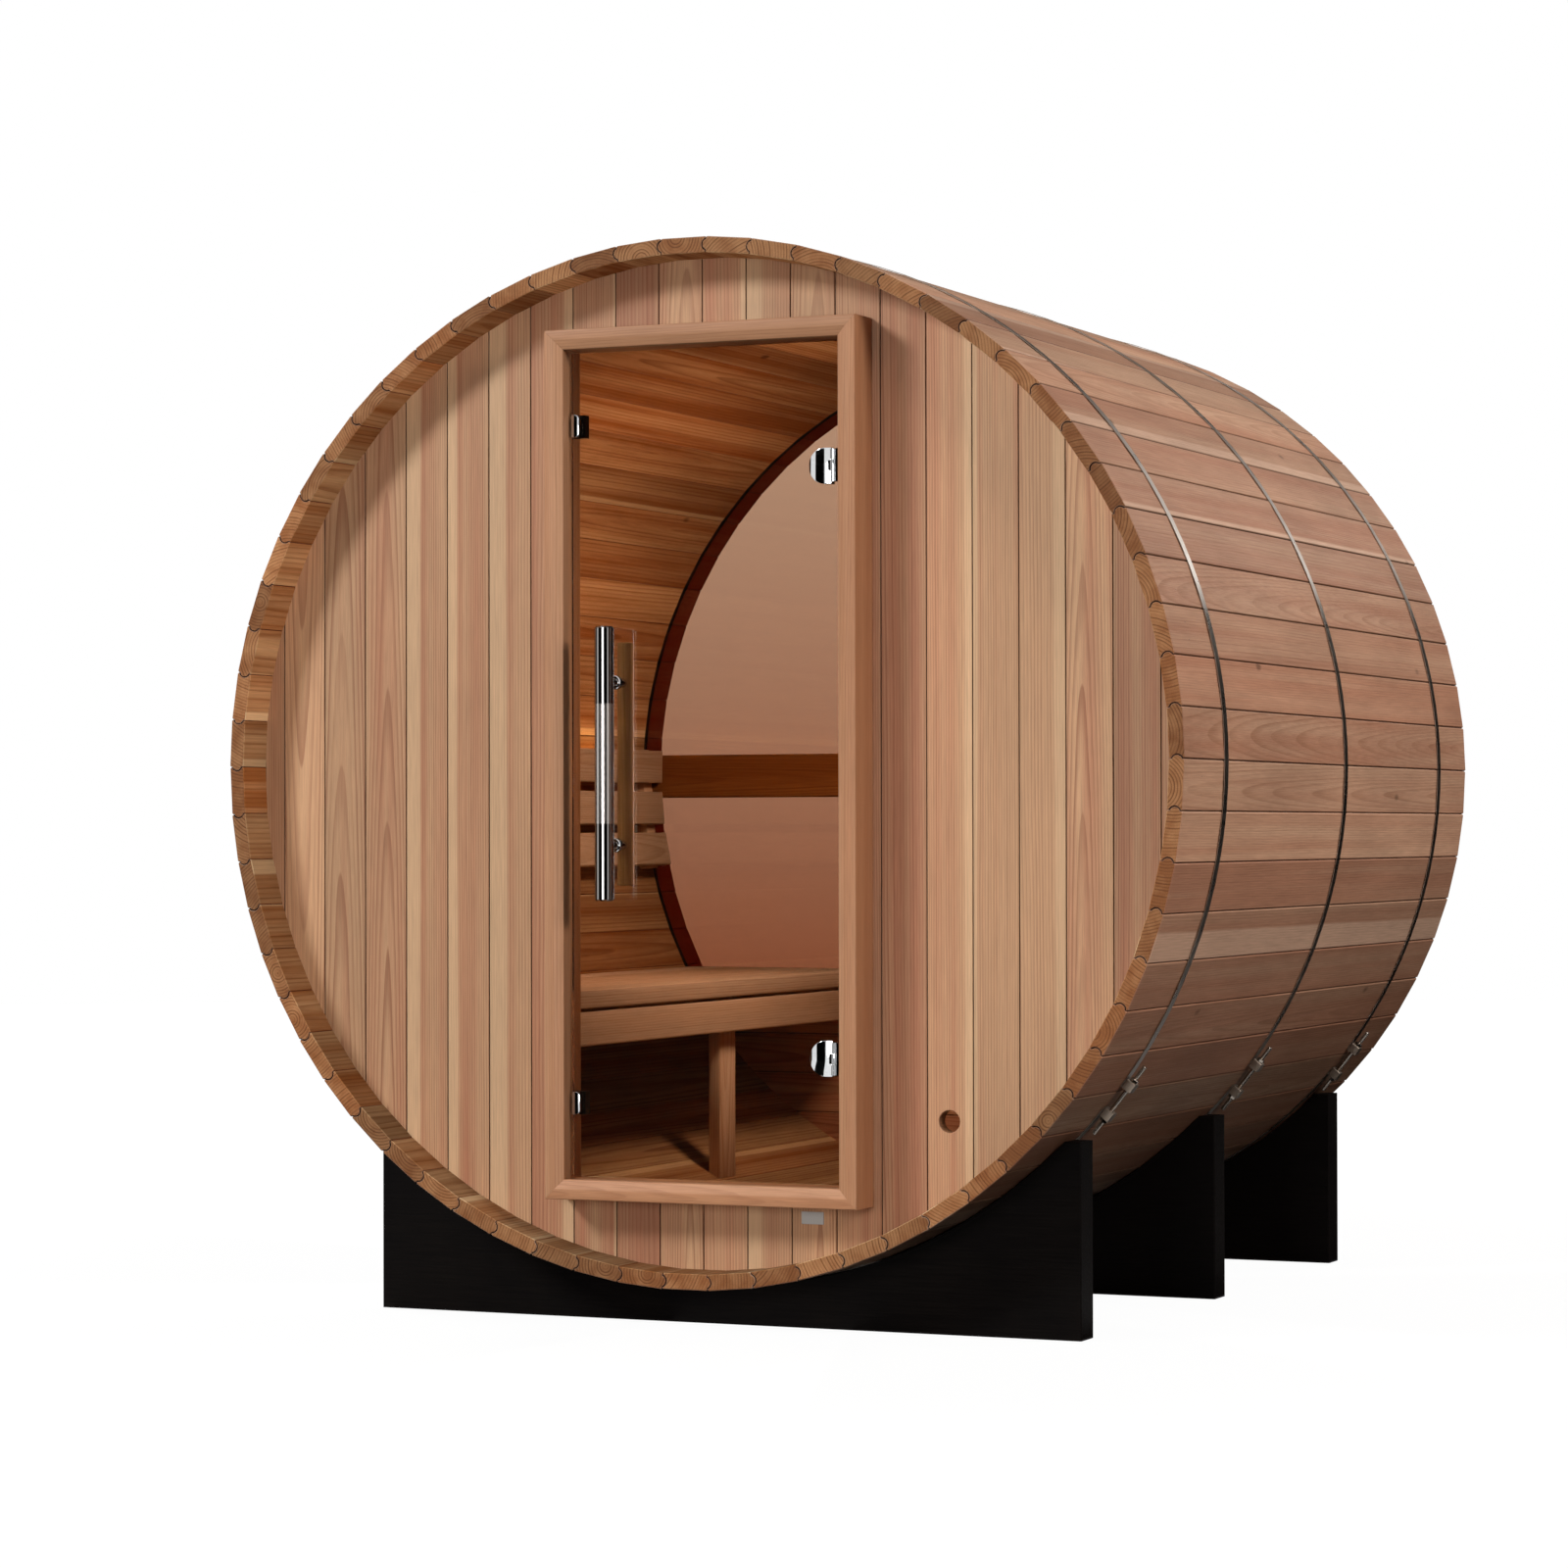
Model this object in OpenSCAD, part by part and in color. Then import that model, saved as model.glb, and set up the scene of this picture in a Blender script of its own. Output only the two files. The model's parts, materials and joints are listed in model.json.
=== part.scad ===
// Barrel sauna: a ring of bead-and-cove staves on three cradles, held by three hoops.
// The front has a boarded wall with a framed glass door, the rear is glazed over a
// boarded foot. +X is to the right seen from the front, +Y runs into the barrel and
// +Z is up. The origin is on the floor, under the middle of the middle cradle.

/* [Barrel] */
// Radius over the outer corners of the stave ring
barrel_r = 915; // [750:1:1100]
// Length of the staves
barrel_len = 1760; // [1600:1:2600]
// Staves in each sixth of the ring
sector_staves = 11; // [9:1:14]
// Thickness of a stave
stave_t = 28; // [26:1:45]
// Chord of the bead along one edge of a stave
bead_chord = 20; // [14:0.5:22]
// Height of the bead
bead_rise = 7; // [4:0.5:8]
// Chamfer along the outer edges of a stave
stave_chamfer = 1.6; // [0.5:0.1:2]
// Play between two joined pieces
play = 0.3; // [0.1:0.05:0.5]

/* [Hoops] */
// Width of a hoop
band_w = 20; // [12:1:30]
// Thickness of a hoop
band_t = 1.2; // [0.8:0.1:2]
// Front of the barrel to the middle of the front hoop
band_front_y = 215; // [215:1:300]
// Front of the barrel to the middle of the middle hoop
band_middle_y = 919; // [700:1:1000]
// Rear of the barrel to the middle of the rear hoop
band_rear_y = 204; // [190:1:300]
// Angle of the tensioners below level, on the right
tension_angle = 38.8; // [30:0.1:42]
// Distance between the two tensioner blocks
block_pitch = 64; // [50:1:90]
// Side of a tensioner block along the rod
block_len = 18; // [14:1:24]
// Height of a tensioner block
block_h = 19; // [16:1:24]
// Diameter of the tensioner rod
rod_d = 8; // [6:0.5:10]
// Length of the tensioner rod
rod_len = 150; // [120:1:180]

/* [Cradles] */
// Floor to the lowest corner of the stave ring
belly_h = 72; // [50:1:150]
// Level top of a cradle outside of the barrel, at either end
saddle_horn = 32; // [15:1:80]
// Tensioner rods down to the level tops of the cradles
saddle_gap = 6; // [3:0.5:60]
// Thickness of a cradle
saddle_t = 60; // [40:1:90]
// Front of the barrel to the front cradle
saddle_front_y = 144; // [90:1:150]
// Front of the barrel to the middle cradle
saddle_middle_y = 862; // [700:1:1000]
// Rear of the barrel to the back of the rear cradle
saddle_rear_y = 112; // [90:1:160]

/* [End walls] */
// Stave ends to the face of the front wall
front_recess = 79; // [78:1:120]
// Stave ends to the outer face of the rear wall
rear_recess = 72; // [50:1:120]
// Thickness of the wall boards
wall_t = 28; // [20:1:40]
// Depth of the groove in the staves that holds the end walls
croze = 6; // [4:0.5:10]
// Diameter of the vent hole in the front wall
vent_d = 38; // [25:1:60]
// Inside of the staves to the middle of the vent hole
vent_inset = 116; // [60:1:160]
// Angle of the vent hole below the level of the barrel axis
vent_angle = 53; // [45:0.5:56]
// Height of the boarded foot of the rear wall over the lowest stave
rear_foot_h = 419; // [300:1:450]
// Thickness of the rear panes
pane_t = 8; // [6:0.5:12]
// Height of the rear cross rail
rail_h = 92; // [60:1:130]
// Depth of the rear cross rail
rail_t = 45; // [30:1:60]
// Depth of the pane grooves in the rail and the boarded foot
pane_groove = 10; // [6:0.5:14]

/* [Door frame] */
// Centre line of the barrel to the middle of the door, to the right
door_shift = 25; // [0:1:60]
// Width over the door frame
frame_w = 596; // [520:1:700]
// Wall left over and under the door frame, on the centre line of the barrel
frame_gap = 121; // [105:1:240]
// Face width of a frame member
frame_face = 35; // [30:1:60]
// Depth of a frame member in front of the wall
frame_depth = 76; // [70:1:78]
// Width of the bevel along the inner edge of a frame member
frame_bevel_w = 17; // [8:1:25]
// Depth of that bevel
frame_bevel_d = 6; // [2:0.5:8]
// Cut in the wall boards beyond the clear opening of the frame
wall_cut_back = 12; // [5:1:20]

/* [Door] */
// Thickness of the door glass
glass_t = 8; // [6:0.5:10]
// Gap round the door glass
door_gap = 5.5; // [5.5:0.5:8]
// Front of the frame to the front of the glass
door_set = 29; // [26:1:32]
// Length of the outer grip
grip_len = 480; // [380:1:600]
// Diameter of the outer grip
grip_d = 34; // [25:1:40]
// Length of the inner grip
inner_grip_len = 430; // [360:1:500]
// Diameter of the inner grip
inner_grip_d = 30; // [22:1:36]
// Glass middle to the axis of either grip
grip_off = 44; // [40:1:50]
// Free edge of the glass to the grips
grip_inset = 83; // [60:1:120]
// Distance between the stand-offs of a grip
standoff_pitch = 286; // [200:1:340]
// Diameter of a stand-off
standoff_d = 18; // [14:1:24]
// Diameter of the studs through the glass
stud_d = 10; // [6:0.5:12]
// End of the clear opening to the middle of the hinge near it
hinge_inset = 221; // [100:1:320]
// Width of a hinge clamp on the glass
clamp_w = 42; // [36:1:55]
// Height of a hinge clamp on the glass
clamp_h = 62; // [50:1:70]
// Thickness of the front plate of a hinge clamp
clamp_t = 9; // [6:0.5:9]
// Thickness of the back plate of a hinge clamp
clamp_back_t = 6; // [4:0.5:9]
// Radius of the hinge knuckles
knuckle_r = 5.5; // [4.5:0.1:6]
// Radius of the hinge pin
pin_r = 2.5; // [2:0.1:3]
// Running clearance round the hinge pin
pin_play = 0.05; // [0.02:0.01:0.1]
// Height of the middle knuckle
knuckle_h = 19; // [14:1:24]
// Height of each outer knuckle
knuckle_end_h = 18; // [12:1:24]
// Glass front to the hinge axis
axis_out = 12; // [10:0.5:13]
// Hinge edge of the glass to the hinge axis
axis_in = 7; // [6:0.5:9]
// Thickness of the hinge leaf on the frame
leaf_t = 3; // [2:0.5:4]
// Width of the hinge leaf on the frame
leaf_w = 16; // [12:0.5:16]
// End of the clear opening to the middle of the catch near it
catch_inset = 133; // [60:1:260]
// Height of a catch
catch_h = 40; // [25:1:60]
// Width of the catch clips on the glass
clip_w = 15; // [10:1:25]
// Thickness of the catch clips
clip_t = 3; // [2:0.5:4]
// Width of the catch magnets on the frame
magnet_w = 24; // [16:1:30]
// Depth of the catch magnets
magnet_t = 18; // [10:1:22]
// Gap between a closed clip and its magnet
catch_gap = 5; // [5:0.5:7]

/* [Bench] */
// Height of the seat over the lowest stave
seat_h = 476; // [430:1:560]
// Thickness of the seat slats
seat_t = 34; // [24:1:45]
// Number of seat slats
seat_slats = 5; // [3:1:7]
// Gap between the seat slats
seat_gap = 8; // [4:1:16]
// Seat edge in front of the apron
seat_nose = 5; // [0:1:20]
// Depth of the seat
seat_depth = 426.3; // [350:0.1:480]
// Height of the apron
apron_h = 64; // [40:1:90]
// Thickness of the apron
apron_t = 28; // [18:1:35]
// Gap between the apron and the seat
apron_gap = 5; // [2:0.5:12]
// Height of the bearers
bearer_h = 60; // [40:1:80]
// Width of the bearers
bearer_w = 40; // [28:1:60]
// Width of the bench post along the barrel
post_w = 74; // [50:1:100]
// Thickness of the bench post
post_t = 25; // [18:1:45]
// Front of the barrel to the middle of the bench post
post_y = 992; // [800:1:1000]
// Gap between the bench and the end walls
bench_end_gap = 4; // [1:1:20]

/* [Backrest] */
// Inside of the staves to the face of the backrest
rest_off = 58; // [45:1:80]
// Width of a backrest slat
rest_w = 70; // [50:1:78]
// Thickness of a backrest slat
rest_t = 22; // [16:1:30]
// Pitch of the backrest slats along their arc
rest_pitch = 88; // [82:1:110]
// Barrel axis up to the middle of the top slat
rest_rise = 20; // [0:1:120]
// Number of backrest slats
rest_slats = 3; // [2:1:4]
// Gap between the backrest and the end walls
rest_end_gap = 16; // [5:1:60]
// Width of a backrest cleat along the barrel
cleat_w = 40; // [25:1:60]

/* [Hidden] */
$fn = 96;

// Colours
CEDAR = "#b98a66";
CEDAR_DARK = "#8a5f42";
STAIN = "#16120f";
STEEL = "#b4b6b8";
CHROME = "#d4d7da";
BRONZE = [0.55, 0.38, 0.26, 0.45];
BLACK = "#151515";

// Ring of staves
half_pitch = 180 / (6 * sector_staves);
ring_out = barrel_r * cos(half_pitch);
ring_in = ring_out - stave_t;
seat_r = ring_in + croze;
liner_r = ring_in - play;
bead_r = (bead_chord * bead_chord / 4 + bead_rise * bead_rise) / (2 * bead_rise);
bead_at = (ring_out - stave_t / 2) / cos(half_pitch);
bead_back = bead_r - bead_rise;
bead_c = [bead_at * cos(half_pitch) + bead_back * sin(half_pitch),
          bead_at * sin(half_pitch) - bead_back * cos(half_pitch)];
axis_z = belly_h + barrel_r;

// Places along the barrel, counted from the front stave ends
origin_y = saddle_middle_y + saddle_t / 2;
wall_in_y = front_recess + wall_t;
rear_in_y = barrel_len - rear_recess - wall_t;
pane_y = rear_in_y + wall_t / 2;
foot_top = rear_foot_h - ring_in;
rear_band_y = barrel_len - band_rear_y;
rear_saddle_y = barrel_len - saddle_rear_y - saddle_t;
bands_y = [band_front_y, band_middle_y, rear_band_y];
vent_r = ring_in - vent_inset;
vent_x = vent_r * cos(vent_angle);
vent_drop = vent_r * sin(vent_angle);

// Hoops
band_in = barrel_r + play;
band_out = band_in + band_t;
gap_angle = asin((block_pitch - block_len) / 2 / band_out);
rod_r = band_out + block_h / 2;
nut_af = 1.6 * rod_d;
nut_h = 0.8 * rod_d;

// Cradles, with their level tops just under the tensioner rods
saddle_top = -rod_r * sin(tension_angle) - rod_len / 2 * cos(tension_angle) - rod_d / 2 - saddle_gap;
saddle_h = axis_z + saddle_top;
saddle_w = 2 * (sqrt(band_in * band_in - saddle_top * saddle_top) + saddle_horn);

// Door and its frame
frame_h = 2 * (ring_in - frame_gap);
frame_y = front_recess - frame_depth;
clear_w = frame_w - 2 * frame_face;
clear_h = frame_h - 2 * frame_face;
jamb_l = door_shift - clear_w / 2;
jamb_r = door_shift + clear_w / 2;
cut_l = jamb_l - wall_cut_back;
cut_r = jamb_r + wall_cut_back;
cut_z = clear_h / 2 + wall_cut_back;
glass_l = jamb_l + door_gap;
glass_r = jamb_r - door_gap;
glass_y = frame_y + door_set;
glass_back = glass_y + glass_t;
grip_x = glass_l + grip_inset;
grip_y = glass_y + glass_t / 2 - grip_off;
inner_grip_y = glass_y + glass_t / 2 + grip_off;
hinge_x = glass_r - axis_in;
hinge_y = glass_y - axis_out;
clamp_r = hinge_x - axis_in;
hinge_rise = clear_h / 2 - hinge_inset;
catch_rise = clear_h / 2 - catch_inset;
knuckle_gap = 0.5;

// Bench and backrest
seat_z = seat_h - ring_in - seat_t;
seat_back = -sqrt(liner_r * liner_r - seat_z * seat_z);
seat_front = seat_back + seat_depth;
slat_w = (seat_front - seat_back - (seat_slats - 1) * seat_gap) / seat_slats;
apron_x = seat_front - seat_nose;
bearer_front = apron_x - apron_t;
bench_y = wall_in_y + bench_end_gap;
bench_len = rear_in_y - wall_in_y - 2 * bench_end_gap;
bearers_y = [bench_y, post_y - bearer_w / 2, bench_y + bench_len - bearer_w];
rest_r = ring_in - rest_off;
rest_step = rest_pitch / rest_r * 180 / PI;
rest_top = 180 - asin(rest_rise / rest_r);
cleat_in = rest_r + rest_t;
cleat_span = rest_pitch * barrel_r / rest_r;
rest_y = wall_in_y + rest_end_gap;
rest_len = rear_in_y - wall_in_y - 2 * rest_end_gap;
cleats_y = [rest_y, rest_y + rest_len / 2 - cleat_w / 2, rest_y + rest_len - cleat_w];

// Sets a piece drawn from the front stave ends and the floor into the part's frame
module placed(tone) color(tone) translate([0, -origin_y, 0]) children();

// Extrudes a section drawn round the barrel axis, from y0 into the barrel
module axial(y0, len)
    translate([0, y0 + len, axis_z]) rotate([90, 0, 0]) linear_extrude(height = len) children();

// Half width of a stave at a distance from the barrel axis
function edge(r) = r * tan(half_pitch) - play / 2 / cos(half_pitch);

// Section of one stave: flat faces, a bead on one edge and a cove on the other
module stave_section() {
    out = ring_out;
    low = ring_out - stave_chamfer;
    difference() {
        union() {
            polygon([[ring_in, -edge(ring_in)], [low, -edge(low)], [out, stave_chamfer - edge(out)],
                     [out, edge(out) - stave_chamfer], [low, edge(low)], [ring_in, edge(ring_in)]]);
            translate(bead_c) circle(r = bead_r - play / 2);
        }
        rotate(-2 * half_pitch) translate(bead_c) circle(r = bead_r + play / 2);
    }
}

// Half plane below a height that is counted from the barrel axis
module below(z) translate([-2 * barrel_r, z - 3 * barrel_r]) square([4 * barrel_r, 3 * barrel_r]);

// Grooves in the staves for the front wall, the rear panes and the boarded foot
module end_grooves() {
    axial(front_recess - play, wall_t + 2 * play) circle(r = seat_r + play);
    axial(pane_y - pane_t / 2 - play, pane_t + 2 * play) circle(r = seat_r + play);
    axial(rear_in_y - play, wall_t + 2 * play)
        intersection() {
            circle(r = seat_r + play);
            below(foot_top + play);
        }
}

// One sixth of the stave ring, counted from the right and upward
module stave_sector(sixth)
    for (k = [0 : sector_staves - 1])
        difference() {
            axial(0, barrel_len)
                rotate((2 * (sixth * sector_staves + k) + 1) * half_pitch) stave_section();
            end_grooves();
        }

// Hoop with its ends at the tensioner
module band(y)
    translate([0, y - band_w / 2, axis_z]) rotate([-90, 0, 0])
        rotate(tension_angle + gap_angle)
            rotate_extrude(angle = 360 - 2 * gap_angle, $fn = 192)
                translate([band_in, 0]) square([band_t, band_w]);

// Places a tensioner: local X along the rod, local Z outward, origin on the rod's middle
module at_tensioner(y)
    translate([0, y, axis_z]) rotate([0, 90 + tension_angle, 0]) translate([0, 0, rod_r]) children();

// Tensioner: two drilled blocks on the hoop ends, drawn together by a rod and two nuts
module tensioner(y)
    at_tensioner(y) {
        for (s = [-1, 1])
            difference() {
                translate([s * block_pitch / 2 - block_len / 2, -band_w / 2, -block_h / 2])
                    cube([block_len, band_w, block_h]);
                rotate([0, 90, 0]) cylinder(d = rod_d + 2 * play, h = 2 * rod_len, center = true);
            }
        rotate([0, 90, 0]) cylinder(d = rod_d, h = rod_len, center = true);
        for (s = [-1, 1])
            translate([s * (block_pitch + block_len + nut_h) / 2, 0, 0]) rotate([0, 90, 0])
                cylinder(d = nut_af / cos(30), h = nut_h, center = true, $fn = 6);
    }

// Cradle: a plank with the barrel's round cut out of its top, relieved for the hoops
module saddle(y)
    difference() {
        translate([-saddle_w / 2, y, 0]) cube([saddle_w, saddle_t, saddle_h]);
        axial(y - 1, saddle_t + 2) circle(r = barrel_r + play, $fn = 192);
        for (b = bands_y)
            axial(b - band_w / 2 - play, band_w + 2 * play) circle(r = band_out + play, $fn = 192);
    }

// Part of the front wall disc inside a box of x and z, z from the barrel axis
module front_panel(x0, x1, z0, z1)
    axial(front_recess, wall_t)
        intersection() {
            circle(r = seat_r, $fn = 192);
            translate([x0, z0]) square([x1 - x0, z1 - z0]);
        }

// Mitred frame member, upright, outer edge at x = 0 and front at y = 0
module frame_member(len) {
    end = (play - len) / 2;
    intersection() {
        translate([0, 0, -len / 2]) linear_extrude(height = len)
            polygon([[0, 0], [frame_face - frame_bevel_w, 0], [frame_face, frame_bevel_d],
                     [frame_face, frame_depth], [0, frame_depth]]);
        translate([0, frame_depth, 0]) rotate([90, 0, 0]) linear_extrude(height = frame_depth)
            polygon([[0, end], [frame_face, end + frame_face],
                     [frame_face, -end - frame_face], [0, -end]]);
    }
}

module at_frame(x, z) translate([door_shift + x, frame_y, axis_z + z]) children();

// Round grip with chamfered ends, standing on its middle
module grip(d, len) {
    c = d / 12;
    rotate_extrude()
        polygon([[0, -len / 2], [d / 2 - c, -len / 2], [d / 2, c - len / 2],
                 [d / 2, len / 2 - c], [d / 2 - c, len / 2], [0, len / 2]]);
}

// Cylinder from y0 to y1
module peg(d, y0, y1) translate([0, y0, 0]) rotate([-90, 0, 0]) cylinder(d = d, h = y1 - y0);

// Glass clamp of a hinge: a D shaped plate on each side, the front one with the middle knuckle
module hinge_clamp(z)
    translate([0, 0, axis_z + z]) {
        difference() {
            union() {
                clamp_plate(glass_y - clamp_t, clamp_t);
                translate([clamp_r - axis_in / 2, hinge_y - knuckle_r / 2, -knuckle_h / 2])
                    cube([hinge_x - clamp_r + axis_in / 2, knuckle_r / 2 + axis_out - clamp_t / 2, knuckle_h]);
                translate([hinge_x, hinge_y, -knuckle_h / 2]) cylinder(r = knuckle_r, h = knuckle_h);
            }
            translate([hinge_x, hinge_y, -clamp_h]) cylinder(r = pin_r + pin_play, h = 2 * clamp_h);
        }
        clamp_plate(glass_back, clamp_back_t);
    }

module clamp_plate(y, t)
    translate([0, y + t, 0]) rotate([90, 0, 0]) linear_extrude(height = t)
        intersection() {
            translate([clamp_r - clamp_w, -clamp_h / 2]) square([clamp_w, clamp_h]);
            translate([clamp_r - clamp_w + clamp_h / 2, 0])
                union() {
                    circle(d = clamp_h);
                    translate([0, -clamp_h / 2]) square([clamp_w, clamp_h]);
                }
        }

// Frame leaf of a hinge with the two outer knuckles and the pin
module hinge_leaf(z)
    translate([0, 0, axis_z + z]) {
        half = knuckle_h / 2 + knuckle_gap + knuckle_end_h;
        translate([jamb_r - leaf_t, hinge_y + knuckle_r - 1.5 - leaf_w, -half])
            cube([leaf_t, leaf_w, 2 * half]);
        translate([hinge_x, hinge_y, -half]) cylinder(r = pin_r, h = 2 * half);
        for (s = [0, 1]) mirror([0, 0, s])
            translate([hinge_x, hinge_y, knuckle_h / 2 + knuckle_gap]) {
                cylinder(r = knuckle_r, h = knuckle_end_h);
                translate([0, -knuckle_r / 2, 0])
                    cube([jamb_r - leaf_t / 2 - hinge_x, knuckle_r, knuckle_end_h]);
            }
    }

// Box with its middle at the given height from the barrel axis
module catch_box(x, y, z, w, t)
    translate([x, y, axis_z + z - catch_h / 2]) cube([w, t, catch_h]);

// Rear pane between two heights from the barrel axis
module pane(z0, z1)
    axial(pane_y - pane_t / 2, pane_t)
        intersection() {
            circle(r = seat_r, $fn = 192);
            translate([-barrel_r, z0]) square([2 * barrel_r, z1 - z0]);
        }

// Groove for the edge of a pane, between two heights from the barrel axis
module pane_slot(z0, z1)
    translate([-barrel_r, pane_y - pane_t / 2 - play, axis_z + z0])
        cube([2 * barrel_r, pane_t + 2 * play, z1 - z0]);

module staves_bottom() placed(CEDAR_DARK) stave_sector(4);
module staves_lower_right() placed(CEDAR_DARK) stave_sector(5);
module staves_upper_right() placed(CEDAR_DARK) stave_sector(0);
module staves_top() placed(CEDAR_DARK) stave_sector(1);
module staves_upper_left() placed(CEDAR_DARK) stave_sector(2);
module staves_lower_left() placed(CEDAR_DARK) stave_sector(3);

module band_front() placed(STEEL) band(bands_y[0]);
module band_middle() placed(STEEL) band(bands_y[1]);
module band_rear() placed(STEEL) band(bands_y[2]);
module tensioner_front() placed(STEEL) tensioner(bands_y[0]);
module tensioner_middle() placed(STEEL) tensioner(bands_y[1]);
module tensioner_rear() placed(STEEL) tensioner(bands_y[2]);

module saddle_front() placed(STAIN) saddle(saddle_front_y);
module saddle_middle() placed(STAIN) saddle(saddle_middle_y);
module saddle_rear() placed(STAIN) saddle(rear_saddle_y);

module front_wall_left() placed(CEDAR) front_panel(-barrel_r, cut_l, -barrel_r, barrel_r);
module front_wall_right() placed(CEDAR)
    difference() {
        front_panel(cut_r, barrel_r, -barrel_r, barrel_r);
        translate([vent_x, 0, axis_z - vent_drop]) peg(vent_d, front_recess - 1, wall_in_y + 1);
    }
module front_wall_head() placed(CEDAR) front_panel(cut_l, cut_r, cut_z, barrel_r);
module front_wall_foot() placed(CEDAR) front_panel(cut_l, cut_r, -barrel_r, -cut_z);

module frame_left() placed(CEDAR) at_frame(-frame_w / 2, 0) frame_member(frame_h);
module frame_right() placed(CEDAR) at_frame(frame_w / 2, 0) mirror([1, 0, 0]) frame_member(frame_h);
module frame_head() placed(CEDAR) at_frame(0, frame_h / 2) rotate([0, 90, 0]) frame_member(frame_w);
module frame_sill() placed(CEDAR) at_frame(0, -frame_h / 2) rotate([0, -90, 0]) frame_member(frame_w);

module door_glass() placed(BRONZE)
    difference() {
        translate([glass_l, glass_y, axis_z - clear_h / 2 + door_gap])
            cube([glass_r - glass_l, glass_t, clear_h - 2 * door_gap]);
        for (s = [-1, 1]) translate([grip_x, 0, axis_z + s * standoff_pitch / 2])
            peg(stud_d + 2 * play, glass_y - 1, glass_back + 1);
    }
module door_handle() placed(CHROME)
    translate([grip_x, 0, axis_z]) {
        translate([0, grip_y, 0]) grip(grip_d, grip_len);
        for (s = [-1, 1]) translate([0, 0, s * standoff_pitch / 2]) {
            peg(standoff_d, grip_y, glass_y);
            peg(stud_d, grip_y, glass_back);
        }
    }
module door_handle_inner() placed(CEDAR)
    translate([grip_x, 0, axis_z]) {
        translate([0, inner_grip_y, 0]) grip(inner_grip_d, inner_grip_len);
        for (s = [-1, 1]) translate([0, 0, s * standoff_pitch / 2])
            peg(standoff_d, glass_back, inner_grip_y);
    }
module hinge_clamp_upper() placed(CHROME) hinge_clamp(hinge_rise);
module hinge_clamp_lower() placed(CHROME) hinge_clamp(-hinge_rise);
module catch_clips() placed(CHROME)
    for (s = [-1, 1], y = [glass_y - clip_t, glass_back])
        catch_box(glass_l, y, s * catch_rise, clip_w, clip_t);
module hinge_leaf_upper() placed(CHROME) hinge_leaf(hinge_rise);
module hinge_leaf_lower() placed(CHROME) hinge_leaf(-hinge_rise);
module catch_magnets() placed(BLACK)
    for (s = [-1, 1])
        catch_box(jamb_l, glass_back + clip_t + catch_gap, s * catch_rise, magnet_w, magnet_t);

module rear_glass_upper() placed(BRONZE) pane(rail_h / 2 - pane_groove, barrel_r);
module rear_glass_lower() placed(BRONZE) pane(foot_top - pane_groove, pane_groove - rail_h / 2);
module rear_rail() placed(CEDAR)
    difference() {
        axial(pane_y - rail_t / 2, rail_t)
            intersection() {
                circle(r = liner_r, $fn = 192);
                translate([-barrel_r, -rail_h / 2]) square([2 * barrel_r, rail_h]);
            }
        pane_slot(rail_h / 2 - pane_groove - play, rail_h);
        pane_slot(-rail_h, pane_groove + play - rail_h / 2);
    }
module rear_foot() placed(CEDAR)
    difference() {
        axial(rear_in_y, wall_t)
            intersection() {
                circle(r = seat_r, $fn = 192);
                below(foot_top);
            }
        pane_slot(foot_top - pane_groove - play, foot_top + 1);
    }

module bench_seat() placed(CEDAR)
    for (k = [0 : seat_slats - 1])
        translate([seat_back + k * (slat_w + seat_gap), bench_y, axis_z + seat_z])
            cube([slat_w, bench_len, seat_t]);
module bench_apron() placed(CEDAR)
    translate([apron_x - apron_t, bench_y, axis_z + seat_z - apron_gap - apron_h])
        cube([apron_t, bench_len, apron_h]);
module bench_bearers() placed(CEDAR)
    for (y = bearers_y)
        axial(y, bearer_w)
            intersection() {
                circle(r = liner_r, $fn = 192);
                translate([-barrel_r, seat_z - bearer_h]) square([barrel_r + bearer_front, bearer_h]);
            }
module bench_post() placed(CEDAR)
    axial(post_y - post_w / 2, post_w)
        intersection() {
            circle(r = liner_r, $fn = 192);
            translate([bearer_front - post_t, -barrel_r]) square([post_t, barrel_r + seat_z - bearer_h]);
        }

module backrest_slats() placed(CEDAR)
    for (k = [0 : rest_slats - 1])
        axial(rest_y, rest_len)
            rotate(rest_top + k * rest_step) translate([rest_r, -rest_w / 2]) square([rest_t, rest_w]);
module backrest_cleats() placed(CEDAR)
    for (y = cleats_y)
        axial(y, cleat_w)
            intersection() {
                circle(r = liner_r, $fn = 192);
                union()
                    for (k = [0 : rest_slats - 1])
                        rotate(rest_top + k * rest_step) translate([cleat_in, -cleat_span / 2])
                            square([barrel_r - cleat_in, cleat_span]);
            }

staves_bottom();
staves_lower_right();
staves_upper_right();
staves_top();
staves_upper_left();
staves_lower_left();
band_front();
band_middle();
band_rear();
tensioner_front();
tensioner_middle();
tensioner_rear();
saddle_front();
saddle_middle();
saddle_rear();
front_wall_left();
front_wall_right();
front_wall_head();
front_wall_foot();
frame_left();
frame_right();
frame_head();
frame_sill();
door_glass();
door_handle();
door_handle_inner();
hinge_clamp_upper();
hinge_clamp_lower();
catch_clips();
hinge_leaf_upper();
hinge_leaf_lower();
catch_magnets();
rear_glass_upper();
rear_glass_lower();
rear_rail();
rear_foot();
bench_seat();
bench_apron();
bench_bearers();
bench_post();
backrest_slats();
backrest_cleats();
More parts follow.
